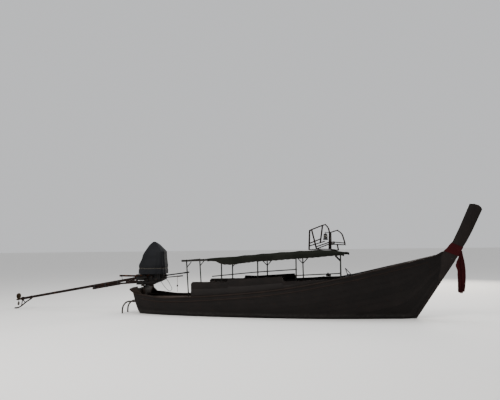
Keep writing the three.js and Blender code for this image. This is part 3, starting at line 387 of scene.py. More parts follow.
# The cloth, rope and rubber colours are partly painted shade: the canvas, sheet and dyes are darkened to near
# black, as the boat looks against the light.
cloth("canopy_canvas", rgb(5.2, 6, 5), rgb(12.5, 13, 10.5), 260, 0.75, 0.0, shine=0.0, seam_every=0.92)
cloth("hood_sheet", rgb(3.4, 3.6, 4.4), rgb(8, 8.4, 9.8), 320, 0.55, 0.006, shine=0.07)
cloth("red_sash", rgb(26, 2.2, 2.6), rgb(66, 5, 5.8), 600, 0.76, 0.02, stain=rgb(16, 3, 4))
cloth("dark_sash", rgb(12, 1.8, 2.2), rgb(32, 3.6, 4.4), 600, 0.76, 0.02, stain=rgb(8, 2, 3))
twisted("pale_rope", rgb(50, 42, 31), rgb(105, 90, 64), 60)
twisted("dark_rope", rgb(10, 8, 6.5), rgb(28, 21, 16), 80)
twisted("red_rope", rgb(32, 4.5, 5.5), rgb(80, 11, 12), 80)
metal("rubber", rgb(5.2, 5.2, 5.2), rgb(9, 9, 9), rgb(14, 13, 12), gloss=0.68, gone=0.62)
print("all finishes:", len(finishes))

# %% [markdown]
# ## Helpers for shapes
# Most pieces of a boat are long and bent: planks, rails, pipes, cloth. Each is a row of points repeated
# along a path, so one function makes a mesh through rows. Squared timbers start as copies of the
# ready-made solids, whose sharp edges a Bevel modifier planes off. Each finished piece has its place in its
# mesh and its origin at the world's.

# %% Selecting, finishing and meshes through rows
SLOTS = {finish: slot for slot, group in (
    ("hull_paint", "hull_paint tarred_wood"), ("timber", "oiled_timber prow_timber cross_timber"),
    ("deck_wood", "deck_boards seat_boards"), ("frame_paint", "frame_paint roof_frame rail_paint"),
    ("painted_steel", "painted_steel tube_paint"), ("steel", "galvanised"), ("engine", "engine_casting"),
    ("iron", "scaled_iron"), ("bronze", "propeller_bronze"), ("canopy_cloth", "canopy_canvas"),
    ("tarp", "hood_sheet"), ("sash", "dark_sash red_sash red_rope"), ("rubber", "rubber"),
) for finish in group.split()}


def only(*pieces):
    """Selects these pieces and nothing else; the first is active."""
    bpy.ops.object.select_all(action="DESELECT")
    for piece in pieces:
        piece.select_set(True)
    bpy.context.view_layer.objects.active = pieces[0]


def joined(name, pieces):
    """Several pieces as one."""
    only(*pieces)
    if len(pieces) > 1:
        bpy.ops.object.join()
    return mesh_object(name)


def settle():
    bpy.ops.object.transform_apply(location=True, rotation=True, scale=True)


def done(piece, finish, node=None, body="hull", slot=None):
    """Gives a piece its finish and a body to ride on, and hides the solid that it stands for."""
    only(piece)
    settle()
    piece.data.materials.clear()
    piece.data.materials.append(finishes[finish])
    if node:
        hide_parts(node)
    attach(piece, body)
    slot = SLOTS.get(finish) if slot is None else slot
    return piece


def assembled(name, parts, finish, *more, **named):
    """Parts joined as one finished piece."""
    return done(joined(name, parts), finish, *more, **named)


def apply_modifier(piece, kind, **settings):
    """Adds a modifier with its settings and applies it."""
    only(piece)
    modifier = piece.modifiers.new(kind.lower(), kind)
    for setting, value in settings.items():
        setattr(modifier, setting, value)
    bpy.ops.object.modifier_apply(modifier=modifier.name)
    return piece


def smooth(piece, degrees):
    only(piece)
    bpy.ops.object.shade_smooth_by_angle(angle=radians(degrees))
    return piece


def reworked(mesh, work):
    """Opens a mesh for one step of work on its faces."""
    shell = bmesh.new()
    shell.from_mesh(mesh)
    work(shell)
    shell.to_mesh(mesh)
    shell.free()


def turn_outwards(shell):
    bmesh.ops.recalc_face_normals(shell, faces=shell.faces)


def mm(rows):
    """Lengths in millimetres, in rows of any depth, as metres."""
    return [mm(row) for row in rows] if isinstance(rows, (list, tuple)) else rows / 1000


def evenly(first, last, steps):
    return [first + (last - first) * k / steps for k in range(steps + 1)]


def all_round(count, first=0.0):
    """Angles evenly round a circle."""
    return [tau * (k + first) / count for k in range(count)]


def running(points):
    """The distance run at each point of a path."""
    return [0.0, *accumulate((b - a).length for a, b in zip(points, points[1:]))]


def new_piece(name, points, faces, corner_uvs=()):
    """An object from points and faces, which are turned outwards."""
    mesh = bpy.data.meshes.new(name)
    mesh.from_pydata([tuple(p) for p in points], [], faces)
    if corner_uvs:
        for corner, value in zip(mesh.uv_layers.new(name="UVMap").data, corner_uvs):
            corner.uv = value
    made = bpy.data.objects.new(name, mesh)
    bpy.context.scene.collection.objects.link(made)
    reworked(mesh, turn_outwards)
    return made


def through_rows(name, rows, loop=False, caps=False, uvs=None):
    """A mesh through rows of points. Loop closes each row, caps fill the ends, uvs gives u, v a point."""
    across = len(rows[0])
    faces, corners = [], []
    for i in range(len(rows) - 1):
        for j in range(across if loop else across - 1):
            a, b = i * across + j, i * across + (j + 1) % across
            faces.append((a, b, b + across, a + across))
            if uvs:
                corners += [uvs[i][j], uvs[i][j + 1], uvs[i + 1][j + 1], uvs[i + 1][j]]
    if caps:
        count = len(rows) * across
        faces += [tuple(reversed(range(across))), tuple(range(count - across, count))]
    return new_piece(name, [p for row in rows for p in row], faces, corners)


def closed(name, rows, degrees, uvs=None):
    """Closed rows with filled ends, smooth across angles under these degrees."""
    return smooth(through_rows(name, rows, loop=True, caps=True, uvs=uvs), degrees)


def rounded(points, reach, steps):
    """The points as a path whose corners are turned on short curves."""
    points = [Vector(p) for p in points]
    path = [points[0]]
    for before, corner, after in zip(points, points[1:], points[2:]):
        near = min(reach, (before - corner).length * 0.48, (after - corner).length * 0.48)
        start = corner + (before - corner).normalized() * near
        end = corner + (after - corner).normalized() * near
        for step in range(steps + 1):
            t = step / steps
            path.append(start * (1 - t) ** 2 + corner * (2 * t * (1 - t)) + end * t ** 2)
    return path + points[-1:]


def rings_round(path, radii, sides):
    """Circles round a path, each turned as little as it can be from the one before."""
    ways = [(b - a).normalized() for a, b in zip(path, path[1:])]
    tangents = [ways[0]] + [(a + b).normalized() for a, b in zip(ways, ways[1:])] + [ways[-1]]
    side = tangents[0].orthogonal().normalized()
    rings = []
    for at, way, radius in zip(path, tangents, radii):
        side = (side - way * side.dot(way)).normalized()
        other = way.cross(side)
        rings.append([at + (side * cos(a) + other * sin(a)) * radius for a in all_round(sides)])
    return rings


def tube(name, path, radii, sides, degrees):
    """A round bar through a path as it is; its UV map runs along it in metres."""
    uvs = [[(u, k / sides) for k in range(sides + 1)] for u in running(path)]
    return closed(name, rings_round(path, radii, sides), degrees, uvs)


def pipe(name, points, radius, sides=14, reach=0.05, steps=5, ends=0.8):
    """A round bar along points, with rounded corners and slightly rounded ends."""
    path = rounded(points, reach, steps)
    first, last = path[1] - path[0], path[-2] - path[-1]
    inset = radius * 0.25
    start = path[0] + first.normalized() * min(inset, first.length * 0.4)
    end = path[-1] + last.normalized() * min(inset, last.length * 0.4)
    path = [path[0], start] + path[1:-1] + [end, path[-1]]
    radii = [radius * ends] + [radius] * (len(path) - 2) + [radius * ends]
    return tube(name, path, radii, sides, 50)


def copy_of(node, name, flat=False):
    """A copy of a ready-made solid, with its loose triangles joined, and its flat faces if so asked."""

    def join_triangles(shell):
        bmesh.ops.remove_doubles(shell, verts=shell.verts, dist=1e-5)
        if flat:
            bmesh.ops.dissolve_limit(shell, angle_limit=radians(1), verts=shell.verts, edges=shell.edges)

    made = nodes[node].copy()
    made.data = nodes[node].data.copy()
    made.parent = None
    for key in list(made.keys()):
        del made[key]
    made.name = name
    bpy.context.scene.collection.objects.link(made)
    reworked(made.data, join_triangles)
    return made


def planed(node, width, segments=2):
    """A copy of a ready-made solid with its sharp edges rounded."""
    made = copy_of(node, node + "_dressed", flat=True)
    apply_modifier(made, "BEVEL", width=width, segments=segments, limit_method="ANGLE",
                   angle_limit=radians(32), use_clamp_overlap=True)
    return smooth(made, 40)


def block(name, middle, size, turn=(0, 0, 0), edge=0.003, segments=2):
    """A box with bevelled edges."""
    bpy.ops.mesh.primitive_cube_add(size=1, location=middle, rotation=turn)
    bpy.context.object.scale = size
    settle()
    return apply_modifier(mesh_object(name), "BEVEL", width=edge, segments=segments)


def hoop(name, place, radius, thick, sides, turn=(0, 0, 0)):
    """A torus; sides are counted round it and round its section."""
    bpy.ops.mesh.primitive_torus_add(location=place, rotation=turn, major_radius=radius, minor_radius=thick,
                                     major_segments=sides[0], minor_segments=sides[1])
    return mesh_object(name)


print("shape helpers are ready, slots named:", len(set(SLOTS.values())))

# %% [markdown]
# ## The hull's lines
# A boatbuilder draws a hull as a table: at each station along it, the height of the rail, the half beam, how
# full the bilge is and how much the floor rises. Between stations the ready-made solid runs straight, where
# a real plank bends, so the values are joined by a smooth curve.

# %% The table of stations and the smooth curve through it
LINES = mm([
    # x, rail top, half beam, and in thousandths the fullness and the floor rise
    (-4440, 705, 620, 900, 220), (-4050, 648, 700, 930, 170), (-3500, 592, 780, 950, 130),
    (-2800, 614, 850, 970, 100), (-2150, 652, 890, 980, 80), (-1500, 698, 920, 980, 70),
    (-750, 760, 938, 980, 60), (0, 835, 945, 980, 60), (700, 925, 938, 970, 60),
    (1400, 1040, 912, 950, 80), (2100, 1178, 855, 900, 100), (2700, 1296, 790, 830, 130),
    (3200, 1413, 710, 750, 150), (3600, 1508, 628, 680, 170), (4000, 1602, 530, 600, 190),
    (4200, 1649, 476, 560, 200), (4400, 1697, 418, 530, 210), (4570, 1738, 362, 510, 220),
    (4750, 1783, 295, 500, 230), (4930, 1829, 215, 500, 250), (5050, 1860, 150, 500, 280),
    (5150, 1886, 90, 520, 300),
])
AFT_END, BOW_FACE = -4.44, 5.15
KEEL_HALF, RAIL_THICK, SKIN = 0.03, 0.045, 0.032
TRANSOM_RAKE = 0.2


def on_curve(table, x, column):
    """The value of a column at x, on a smooth curve through the table's rows."""
    if x <= table[0][0]:
        return table[0][column]
    if x >= table[-1][0]:
        return table[-1][column]
    i = next(k for k, row in enumerate(table) if row[0] > x) - 1
    slopes = [(b[column] - a[column]) / (b[0] - a[0]) for a, b in zip(table, table[1:])]
    before = slopes[i] if i == 0 else (slopes[i - 1] + slopes[i]) / 2
    after = slopes[i] if i + 1 == len(slopes) else (slopes[i] + slopes[i + 1]) / 2
    width = table[i + 1][0] - table[i][0]
    t = (x - table[i][0]) / width
    return ((2 * t ** 3 - 3 * t ** 2 + 1) * table[i][column] + (t ** 3 - 2 * t ** 2 + t) * width * before
            + (3 * t ** 2 - 2 * t ** 3) * table[i + 1][column] + (t ** 3 - t ** 2) * width * after)


def rail_top(x):
    return on_curve(LINES, x, 1)


def half_beam(x):
    return on_curve(LINES, x, 2)


def sheer(x):
    return rail_top(x) - RAIL_THICK - 0.0004


def bottom(x):
    """The hull's lowest line: rocker aft, an arc at the forefoot, then the raked stem."""
    arc_bottom, radius, foot_x, slope = -0.335, 0.76, 3.778, 1.484
    angle = atan(slope)
    line_start = foot_x + radius * sin(angle)
    if x < 0:
        return -0.36 + 0.16 * (x / AFT_END) ** 2
    if x < foot_x:
        return -0.36 + 0.025 * (x / foot_x) ** 2
    if x < line_start:
        return arc_bottom + radius - sqrt(radius ** 2 - (x - foot_x) ** 2)
    return arc_bottom + radius - radius * cos(angle) + (x - line_start) * slope


def section(x, count=160):
    """One side of the hull at x, from keel to sheer, as even steps along a conic curve."""
    low = bottom(x)
    depth = sheer(x) - low
    start = Vector((KEEL_HALF, low))
    turn = Vector((half_beam(x) * on_curve(LINES, x, 3), low + depth * on_curve(LINES, x, 4)))
    end = Vector((half_beam(x), sheer(x)))
    points = []
    for k in range(count + 1):
        t = k / count
        weights = ((1 - t) ** 2, 3 * t * (1 - t), t * t)
        points.append((start * weights[0] + turn * weights[1] + end * weights[2]) / sum(weights))
    return points


print("beam amidships:", round(2 * half_beam(0), 3), "m, rail at the bow:", round(rail_top(BOW_FACE), 3), "m")

# %% [markdown]
# ## Planking
# The hull is carvel built: planks laid edge to edge, ten to a side, with a narrow caulked seam between
# them. Seams could be painted on, but light shows them as grooves, so they are cut into the mesh: each
# side's curve is divided into ten strakes and drawn in a little at every joint. The planks' numbers go into
# the UV map, so that each has its own shade and its own butt joints.

# %% Hull skin with ten strakes a side
STRAKES = 10
SEAM_HALF, SEAM_DEPTH = 0.0035, 0.004
PORT_NUMBERS = 20


def strake_points(x, inset):
    """Points from keel to sheer with a groove at each seam, and the strake number at each."""
    side = section(x)
    run = running(side)
    girth = run[-1]

    def at(distance, depth):
        distance = min(max(distance, 0), girth)
        k = max(next((k for k, value in enumerate(run) if value >= distance), len(run) - 1), 1)
        share = (distance - run[k - 1]) / max(run[k] - run[k - 1], 1e-9)
        way = (side[k] - side[k - 1]).normalized()
        point = side[k - 1].lerp(side[k], share) + Vector((-way.y, way.x)) * depth
        return Vector((max(point.x, 0.004), point.y))

    half = min(SEAM_HALF, girth / STRAKES * 0.12)
    points, numbers = [], []
    for strake in range(STRAKES):
        low, high = girth * strake / STRAKES, girth * (strake + 1) / STRAKES
        stops = [(low + half, 0.0, 0.04)]
        stops += [(low + (high - low) * share, 0.0, share) for share in (0.25, 0.5, 0.75)]
        stops += [(high - half, 0.0, 0.96)]
        if strake + 1 < STRAKES:
            stops += [(high, SEAM_DEPTH, 1.0)]
        for distance, depth, share in stops:
            points.append(at(distance, depth if inset == 0 else inset - depth))
            numbers.append(strake + share * 0.999)
    points[0] = Vector((KEEL_HALF if inset == 0 else 0.02, bottom(x) + inset))
    points[-1] = at(girth, inset)
    if inset:
        points[-1].y = sheer(x)
    return points, numbers


def lean(x, z):
    """The stern's planks end on the raked transom."""
    share = max(0.0, 1 - (x - AFT_END) / 0.25)
    return -max(z, 0) * TRANSOM_RAKE * share


def plank_uvs(x, numbers, way):
    return [(x, number + (PORT_NUMBERS if way > 0 else 0)) for number in numbers]


def plank_skin(way):
    """One side of the hull, outside and inside, as a closed shell."""
    rows, uvs = [], []
    for x in evenly(AFT_END, BOW_FACE, 120):
        outside, numbers = strake_points(x, 0.0)
        inside, _ = strake_points(x, SKIN if x < 5.0 else 0.012)
        rows.append([Vector((x + lean(x, p.y), way * p.x, p.y)) for p in outside + inside[::-1]])
        uvs.append(plank_uvs(x, numbers + numbers[::-1] + numbers[:1], way))
    return closed("planks", rows, 38, uvs)


hull_skin = assembled("hull_skin", [plank_skin(1), plank_skin(-1)], "hull_paint", "hull_planking")
print("hull skin:", len(hull_skin.data.polygons), "faces")

# %% Plank ends let into the stem
STEM_HALF = 0.0304


def plank_ends(way):
    """Carries each strake on from the last station until it meets the stem's side."""
    at, numbers = strake_points(BOW_FACE, 0.0)
    before, _ = strake_points(BOW_FACE - 0.05, 0.0)
    rows, uvs = [], []
    for p, q, number in zip(at, before, numbers):
        wide = max(p.x - STEM_HALF, 0.0008)
        inward, rise = max((q.x - p.x) / 0.05, 0.3), (p.y - q.y) / 0.05
        reach = 1.25 * wide / inward
        shares = (0, 0.2, 0.4, 0.6, 0.8, 1)
        ring = [(reach * s, STEM_HALF + wide * (1 - 1.25 * s + 0.25 * s * s)) for s in shares]
        ring += [(reach * s, STEM_HALF - 0.0002) for s in (0.8, 0.4, 0)]
        rows.append([Vector((BOW_FACE + 0.0003 + x, way * y, p.y + rise * x)) for x, y in ring])
        uvs.append([plank_uvs(BOW_FACE + x, [number], way)[0] for x, _ in ring + ring[:1]])
    return closed("ends", rows, 38, uvs)


assembled("hood_ends", [plank_ends(1), plank_ends(-1)], "hull_paint")
print("plank ends meet the stem", round(1.25 * (half_beam(BOW_FACE) - STEM_HALF) / 0.6, 3), "m on")

# %% [markdown]
# ## Rails, boards and the keel line
# The gunwale is a thick rail bent along the sheer, with edges rounded by hands and ropes. Above it
# amidships stand the weatherboards, lengths of plank of different heights that keep the spray out. Both
# follow the sheer, so they are made as rows of sections.

# %% Gunwales and weatherboards
def squared_section(inner, outer, low, top, cut=0.007):
    """A rectangle with its corners cut, as points (y, z)."""
    cut = min(cut, abs(outer - inner) * 0.3, (top - low) * 0.3)
    way = 1 if outer > inner else -1
    return [
        (inner + way * cut, low), (outer - way * cut, low), (outer, low + cut), (outer, top - cut),
        (outer - way * cut, top), (inner + way * cut, top), (inner, top - cut), (inner, low + cut),
    ]


def moulding(name, way, xs, ring_at, degrees=50, raked=False, v_first=0, v_steps=None):
    """A closed strip along the boat; ring_at gives its section at x as points (y, z)."""
    rows, uvs = [], []
    for x in xs:
        ring = ring_at(x)
        foot = x + lean(x, rail_top(x) - RAIL_THICK) if raked else x
        rows.append([Vector((foot, way * y, z)) for y, z in ring])
        uvs.append([(x, v_first + j / (v_steps or len(ring))) for j in range(len(ring) + 1)])
    return closed(name, rows, degrees, uvs)


def gunwale(x):
    top, beam = rail_top(x), half_beam(x)
    return squared_section(max(beam - 0.075, 0.045), beam + 0.025, top - RAIL_THICK, top)


BOARD_TOPS = mm([
    (-2385, 1046), (-2335, 1087), (-1308, 1098), (-1150, 1100), (-1105, 1195), (-700, 1182),
    (-237, 1212), (630, 1265), (690, 1112), (1314, 1141), (1647, 1174), (2139, 1190),
])


def board_top(x):
    i = max(k for k, row in enumerate(BOARD_TOPS[:-1]) if row[0] <= x + 1e-9)
    (x0, z0), (x1, z1) = BOARD_TOPS[i], BOARD_TOPS[i + 1]
    return z0 + (z1 - z0) * (x - x0) / (x1 - x0)


def weatherboard(x):
    foot = rail_top(x) + 0.0004
    head = max(board_top(x), foot + 0.008)
    outer = half_beam(x) - 0.03
    inner, middle = outer - 0.028, (foot + head) / 2
    points = squared_section(inner, outer, foot, head, 0.005)
    groove = 0.003 if head - foot > 0.15 else 0.0
    points[3:3] = [(outer, middle - 0.004), (outer - groove, middle), (outer, middle + 0.004)]
    points[10:10] = [(inner, middle + 0.004), (inner + groove, middle), (inner, middle - 0.004)]
    return points


SIDES = (("port", 1), ("starboard", -1))
BOARD_UV = 40
board_xs = sorted({row[0] for row in BOARD_TOPS} | {-2.3 + 0.1 * k for k in range(45)})
for side, way in SIDES:
    rail = moulding("gunwale_rail_" + side, way, evenly(AFT_END, 5.09, 120), gunwale, raked=True)
    done(rail, "oiled_timber", "gunwale_" + side)
    board = moulding("weatherboard_planks_" + side, way, board_xs, weatherboard, 40,
                     v_first=BOARD_UV, v_steps=7)
    done(board, "hull_paint", "weatherboard_" + side)
print("rails and boards:", [round(v, 2) for v in (rail_top(-3.5), rail_top(2.7))])

# %% [markdown]
# ## Squared timbers
# Keel, stem, transom, frames and bulkheads are sawn timber. Their solids are right in shape, but no real
# edge is razor sharp, so each gets a copy with its edges planed, wide on the stem and narrow on the
# bulkheads.

# %% Planed copies of the timbers
TIMBERS = [
    # node, edge, finish
    ("keel", 0.006, "tarred_wood"), ("stem_prow", 0.012, "prow_timber"), ("transom", 0.004, "tarred_wood"),
    ("stern_beam", 0.01, "cross_timber"), ("aft_bulkhead", 0.003, "cross_timber"),
    ("fore_bulkhead", 0.003, "cross_timber"), ("frames_port", 0.004, "oiled_timber"),
    ("frames_starboard", 0.004, "oiled_timber"), ("bitt_port", 0.008, "oiled_timber"),
]
for node, edge, finish in TIMBERS:
    done(planed(node, edge, 3 if edge > 0.005 else 2), finish, node)
print("planed timbers:", len(TIMBERS))

# %% [markdown]
# ## Posts, rails and bows
# The roof stands on ten posts that rise from the seats and the after deck. A rail lies along each row of
# heads, and thin bent bows cross from rail to rail under a ridge pole. They are round bars, so each is
# swept along its path with rounded corners.

# %% Posts with their braces
RAIL_Y, POST_Y = 0.6, 0.565
RAIL_AFT, RAIL_FORE = (-2.83, 1.742), (2.465, 1.9208)
SEAT_TOP, AFT_DECK_TOP = 0.5048, 0.5


def rail_height(x):
    share = (x - RAIL_AFT[0]) / (RAIL_FORE[0] - RAIL_AFT[0])
    return RAIL_AFT[1] + (RAIL_FORE[1] - RAIL_AFT[1]) * share


POSTS = [
    # side, number, x at the foot, x at the head, reach of the forward brace, of the aft brace
    ("starboard", 1, -2.585, -2.65, 0.165, 0), ("starboard", 2, -1.44, -1.436, 0, 0),
    ("starboard", 3, -0.23, -0.226, 0, 0), ("starboard", 4, 0.996, 1.008, 0, 0),
    ("starboard", 5, 2.356, 2.377, 0, 0.165), ("port", 1, -2.585, -2.65, 0.165, 0),
    ("port", 2, -1.456, -1.451, 0.24, 0), ("port", 3, -0.23, -0.226, 0.24, 0.24),
    ("port", 4, 0.996, 0.982, 0.22, 0.22), ("port", 5, 2.214, 2.219, 0, 0.165),
]
POST_RADIUS, BRACE_RADIUS, RAIL_RADIUS = 0.021, 0.015, 0.019


def post_pieces(side, number, foot_x, head_x, forward, aft):
    y = POST_Y if side == "port" else -POST_Y
    foot_z = AFT_DECK_TOP if number == 1 else SEAT_TOP
    head_z = rail_height(head_x) - RAIL_RADIUS
    foot, head = Vector((foot_x, y, foot_z)), Vector((head_x, y, head_z))
    parts = [pipe("post", [foot, head], POST_RADIUS, 18, ends=0.95),
             pipe("shoe", [foot, foot.lerp(head, 0.012)], POST_RADIUS + 0.012, 18, ends=0.9)]
    for reach, way in ((forward, 1), (aft, -1)):
        if reach:
            low = foot.lerp(head, 1 - (reach + 0.02) / (head_z - foot_z))
            top_x = head_x + way * reach
            top = Vector((top_x, y, rail_height(top_x) - RAIL_RADIUS - 0.012))
            parts.append(pipe("brace", [low, top], BRACE_RADIUS, 12))
    return parts


for row in POSTS:
    node = f"post_{row[0]}_{row[1]}"
    assembled(node + "_bar", post_pieces(*row), "frame_paint", node)
for side, way in SIDES:
    ends = [(x, way * POST_Y, z) for x, z in (RAIL_AFT, RAIL_FORE)]
    done(pipe(f"canopy_rail_{side}_bar", ends, RAIL_RADIUS, 18), "rail_paint", "canopy_rail_" + side)
print("posts:", len(POSTS))

# %% Bows and the ridge pole
CROWN = mm([
    (-3100, 1735), (-2640, 1782), (-2050, 1822), (-1440, 1862), (-620, 1934), (160, 1990), (1000, 2040),
    (1660, 2070), (2050, 2055), (2360, 2000), (2560, 1935),
])
BOW_RADIUS, BOW_CLEARANCE, COVER_THICKNESS, COVER_LIFT = 0.014, 0.0008, 0.012, 0.0008
BOWS = mm([-2650, -2050, -1440, -830, -230, 380, 1000, 1620, 2100, 2440])


def straight_between(table, x):
    """The second value of the rows of a table at x, on straight lines between them."""
    if x <= table[0][0]:
        return table[0][1]
    if x >= table[-1][0]:
        return table[-1][1]
    i = next(k for k, row in enumerate(table) if row[0] > x)
    share = (x - table[i - 1][0]) / (table[i][0] - table[i - 1][0])
    return table[i - 1][1] * (1 - share) + table[i][1] * share


def roof_top(x, y):
    """The height of the roof frame's top: a cosine from rail to crown."""
    share = min(abs(y) / POST_Y, 1)
    edge = rail_height(x) + RAIL_RADIUS + 2 * BOW_RADIUS + BOW_CLEARANCE
    crown = max(straight_between(CROWN, x) - COVER_THICKNESS, edge)
    return edge + (crown - edge) * cos(share * pi / 2)


def bow(x):
    ys = [RAIL_Y * (k / 12 - 1) for k in range(25)]
    return pipe("bow", [(x, y, roof_top(x, y) - BOW_RADIUS) for y in ys], BOW_RADIUS, 12, reach=0.02, steps=2)


ridge_line = [(x, 0, roof_top(x, 0) - 1.8 * BOW_RADIUS) for x in [-3.09] + BOWS]
ridge = pipe("ridge", ridge_line, BOW_RADIUS * 1.15, 14, reach=0.15)
assembled("roof_frame", [bow(x) for x in BOWS] + [ridge], "roof_frame", "canopy_bows")

SIDE_RAIL_RADIUS = 0.017
RAIL_SIDE = -(POST_Y + POST_RADIUS + SIDE_RAIL_RADIUS + 0.0004)
SIDE_RAILS = {
    "side_rail_aft": [(-1.75, 1.258), (-1.44, 1.289), (-0.253, 1.398), (1.03, 1.48)],
    "side_rail_fore": [(0.985, 1.292), (2.395, 1.361)],
}
for node, line in SIDE_RAILS.items():
    rail = pipe(node + "_bar", [(x, RAIL_SIDE, z) for x, z in line], SIDE_RAIL_RADIUS, 14, reach=0.2)
    done(rail, "rail_paint", node, slot="timber")
print("bows:", len(BOWS), "ridge height:", round(roof_top(1.62, 0), 3))

# %% [markdown]
# ## The canopy
# One length of coated canvas is pulled over the bows and tied down at the rails, and its sides hang as a
# short valance. Cloth can be dropped by simulation, but this one is stretched, so a curved sheet is drawn
# with its slack: it touches at every bow and dips between them, and the valance ripples as it hangs.

# %% Canopy sheet
SKIRT = mm([
    (-1900, 1742), (-1640, 1740), (-1400, 1650), (-960, 1640), (-660, 1690), (-230, 1726), (280, 1750),
    (955, 1800), (1620, 1838), (2100, 1882), (2370, 1897), (2550, 1903),
])
COVER_EDGE, CLOTH_THICKNESS = 0.626, 0.003
CANOPY_AFT, CANOPY_FORE, CANOPY_LENGTH, CANOPY_STEPS = -1.9, 2.55, 4.45, 110
FRONT_DROOP, DROOP_FROM = 0.03, 2.44
HEM_HOLLOW, HOLLOW_FROM = 0.055, 2.0


def slack(x):
    """How far from a bow, as 0 on one and 1 halfway between two."""
    stops = [CANOPY_AFT] + [b for b in BOWS if b > CANOPY_AFT] + [CANOPY_FORE]
    i = max(k for k, stop in enumerate(stops[:-1]) if stop <= x + 1e-9)
    width = stops[i + 1] - stops[i]
    return sin((x - stops[i]) / width * pi) * min(1, width / 0.5)


def past(x, start):
    """How far x is from a start to the canopy's front end, as a share."""
    return max(0, (x - start) / (CANOPY_FORE - start))


def canopy_row(station):
    """A row of points and UVs across the roof; near the front it bends aft towards the corners."""
    hollow = HEM_HOLLOW * past(station, HOLLOW_FROM) ** 2
    droop = FRONT_DROOP * past(station, DROOP_FROM) ** 1.4
    over = []
    for k in range(37):
        share = k / 18 - 1
        x, y = station - hollow * share ** 2, share * RAIL_Y
        dip = slack(x) * (0.013 * cos(share * pi / 2) ** 0.5 + 0.002)
        wrinkle = noise.noise(Vector((x * 3.1, y * 5, 3.7))) * 0.003
        z = roof_top(x, y) + COVER_LIFT + 0.009 - dip + wrinkle - droop
        over.append(Vector((x, share * (COVER_EDGE - 0.008), z)))
    x = station - hollow
    hem = on_curve(SKIRT, x, 1) - droop
    hang = []
    for side, top in ((-1, over[0]), (1, over[-1])):
        drop = max(top.z - hem, 0.01)
        column = []
        for share in evenly(0, 1, 8)[1:]:
            ripple = sin(x * 21 + side) * 0.6 + sin(x * 47 + 2 * side) * 0.25
            ripple += noise.noise(Vector((x * 4, side * 9, share * 1.5))) * 0.9
            out = 0.006 * min(share * 3, 1) - 0.003 + ripple * 0.01 * share * min(1, drop / 0.12)
            lift = 0.006 * sin(x * 33 + side * 2) * share * min(1, drop / 0.12)
            column.append(Vector((x, side * (COVER_EDGE - 0.006 + out), top.z - drop * share + lift)))
        hang.append(column)
    row = hang[0][::-1] + over + hang[1]
    return row, [(station + 3, value) for value in running(row)]


canopy_xs = [CANOPY_AFT + CANOPY_LENGTH * k / CANOPY_STEPS for k in range(CANOPY_STEPS + 1)]
canopy_rows, canopy_uvs = zip(*[canopy_row(x) for x in canopy_xs])
canopy = through_rows("canopy", canopy_rows, uvs=canopy_uvs)
apply_modifier(canopy, "SOLIDIFY", thickness=CLOTH_THICKNESS, offset=0)
done(smooth(canopy, 60), "canopy_canvas", "canopy_cover")
canopy_flat = sum(uv[-1][1] for uv in canopy_uvs) / len(canopy_uvs)
print("canopy:", round(canopy_flat, 2), "m round,", len(canopy.data.polygons), "faces")

# %% [markdown]
# ## The engine's hood
# A woven plastic sheet is thrown over the engine and its air stack, and tied round. It hangs from a peak,
# bulges at the shoulders and falls in folds to a loose hem. The form is lofted from level rings, and the
# folds grow towards the hem, with deep creases running up to the peak.

# %% Hood sheet
HOOD = mm([
    # height, aft x, forward x, half width
    (1305, -4655, -3625, 330), (1480, -4645, -3632, 340), (1610, -4640, -3640, 338),
    (1830, -4525, -3662, 292), (1950, -4492, -3672, 278), (2070, -4420, -3672, 250),
    (2200, -4330, -3800, 185), (2300, -4260, -3895, 118), (2370, -4180, -3995, 62),
    (2407, -4120, -4075, 18),
])
HOOD_LOW, HOOD_PEAK, HOOD_FALL, HOOD_TIE, HOOD_SIDES = 1.305, 2.407, 1.102, 1.5, 144


def squared(value, power=0.62):
    return copysign(abs(value) ** power, value)


def hood_ring(z):
    aft, fore, width = (straight_between([(row[0], row[i]) for row in HOOD], z) for i in (1, 2, 3))
    middle, reach = (aft + fore) / 2, (fore - aft) / 2
    fall = (HOOD_PEAK - z) / HOOD_FALL
    points = []
    for k in range(HOOD_SIDES):
        angle = tau * k / HOOD_SIDES
        fold = 0.55 * sin(angle * 9 + 1.2 * sin(angle * 2) + z * 1.5)
        fold += 0.3 * sin(angle * 17 + 0.8 + z * 2.5)
        fold += 0.5 * noise.noise(Vector((cos(angle) * 2.2, sin(angle) * 2.2, z * 2.6)))
        crease = 1 - abs(sin(angle * 5.5 + 0.9 * sin(z * 2.7) + 0.4)) ** 0.6
        fold -= 0.9 * crease * (0.4 + fall)
        fold -= 0.55 * exp(-((z - HOOD_TIE) / 0.09) ** 2) * (1 + sin(angle * 19))
        tie = exp(-((z - HOOD_TIE) / 0.035) ** 2)
        inward = 0.011 * (0.25 + fall) * (fold - 0.9) * min(1, fall * 6) - 0.014 * tie
        scale = 1 + inward / max(reach, 0.08)
        x = middle + reach * squared(cos(angle)) * scale
        y = width * squared(sin(angle)) * scale
        lift = 0.01 * sin(angle * 5 + 1) + 0.006 * sin(angle * 13)
        points.append(Vector((x, y, z + max(0, lift) * (1 if z < HOOD_LOW + 0.001 else 0))))
    return points


def close_peak(shell):
    rim = [e for e in shell.edges if e.is_boundary and e.verts[0].co.z > HOOD_PEAK - 0.017]
    bmesh.ops.contextual_create(shell, geom=rim)
    turn_outwards(shell)


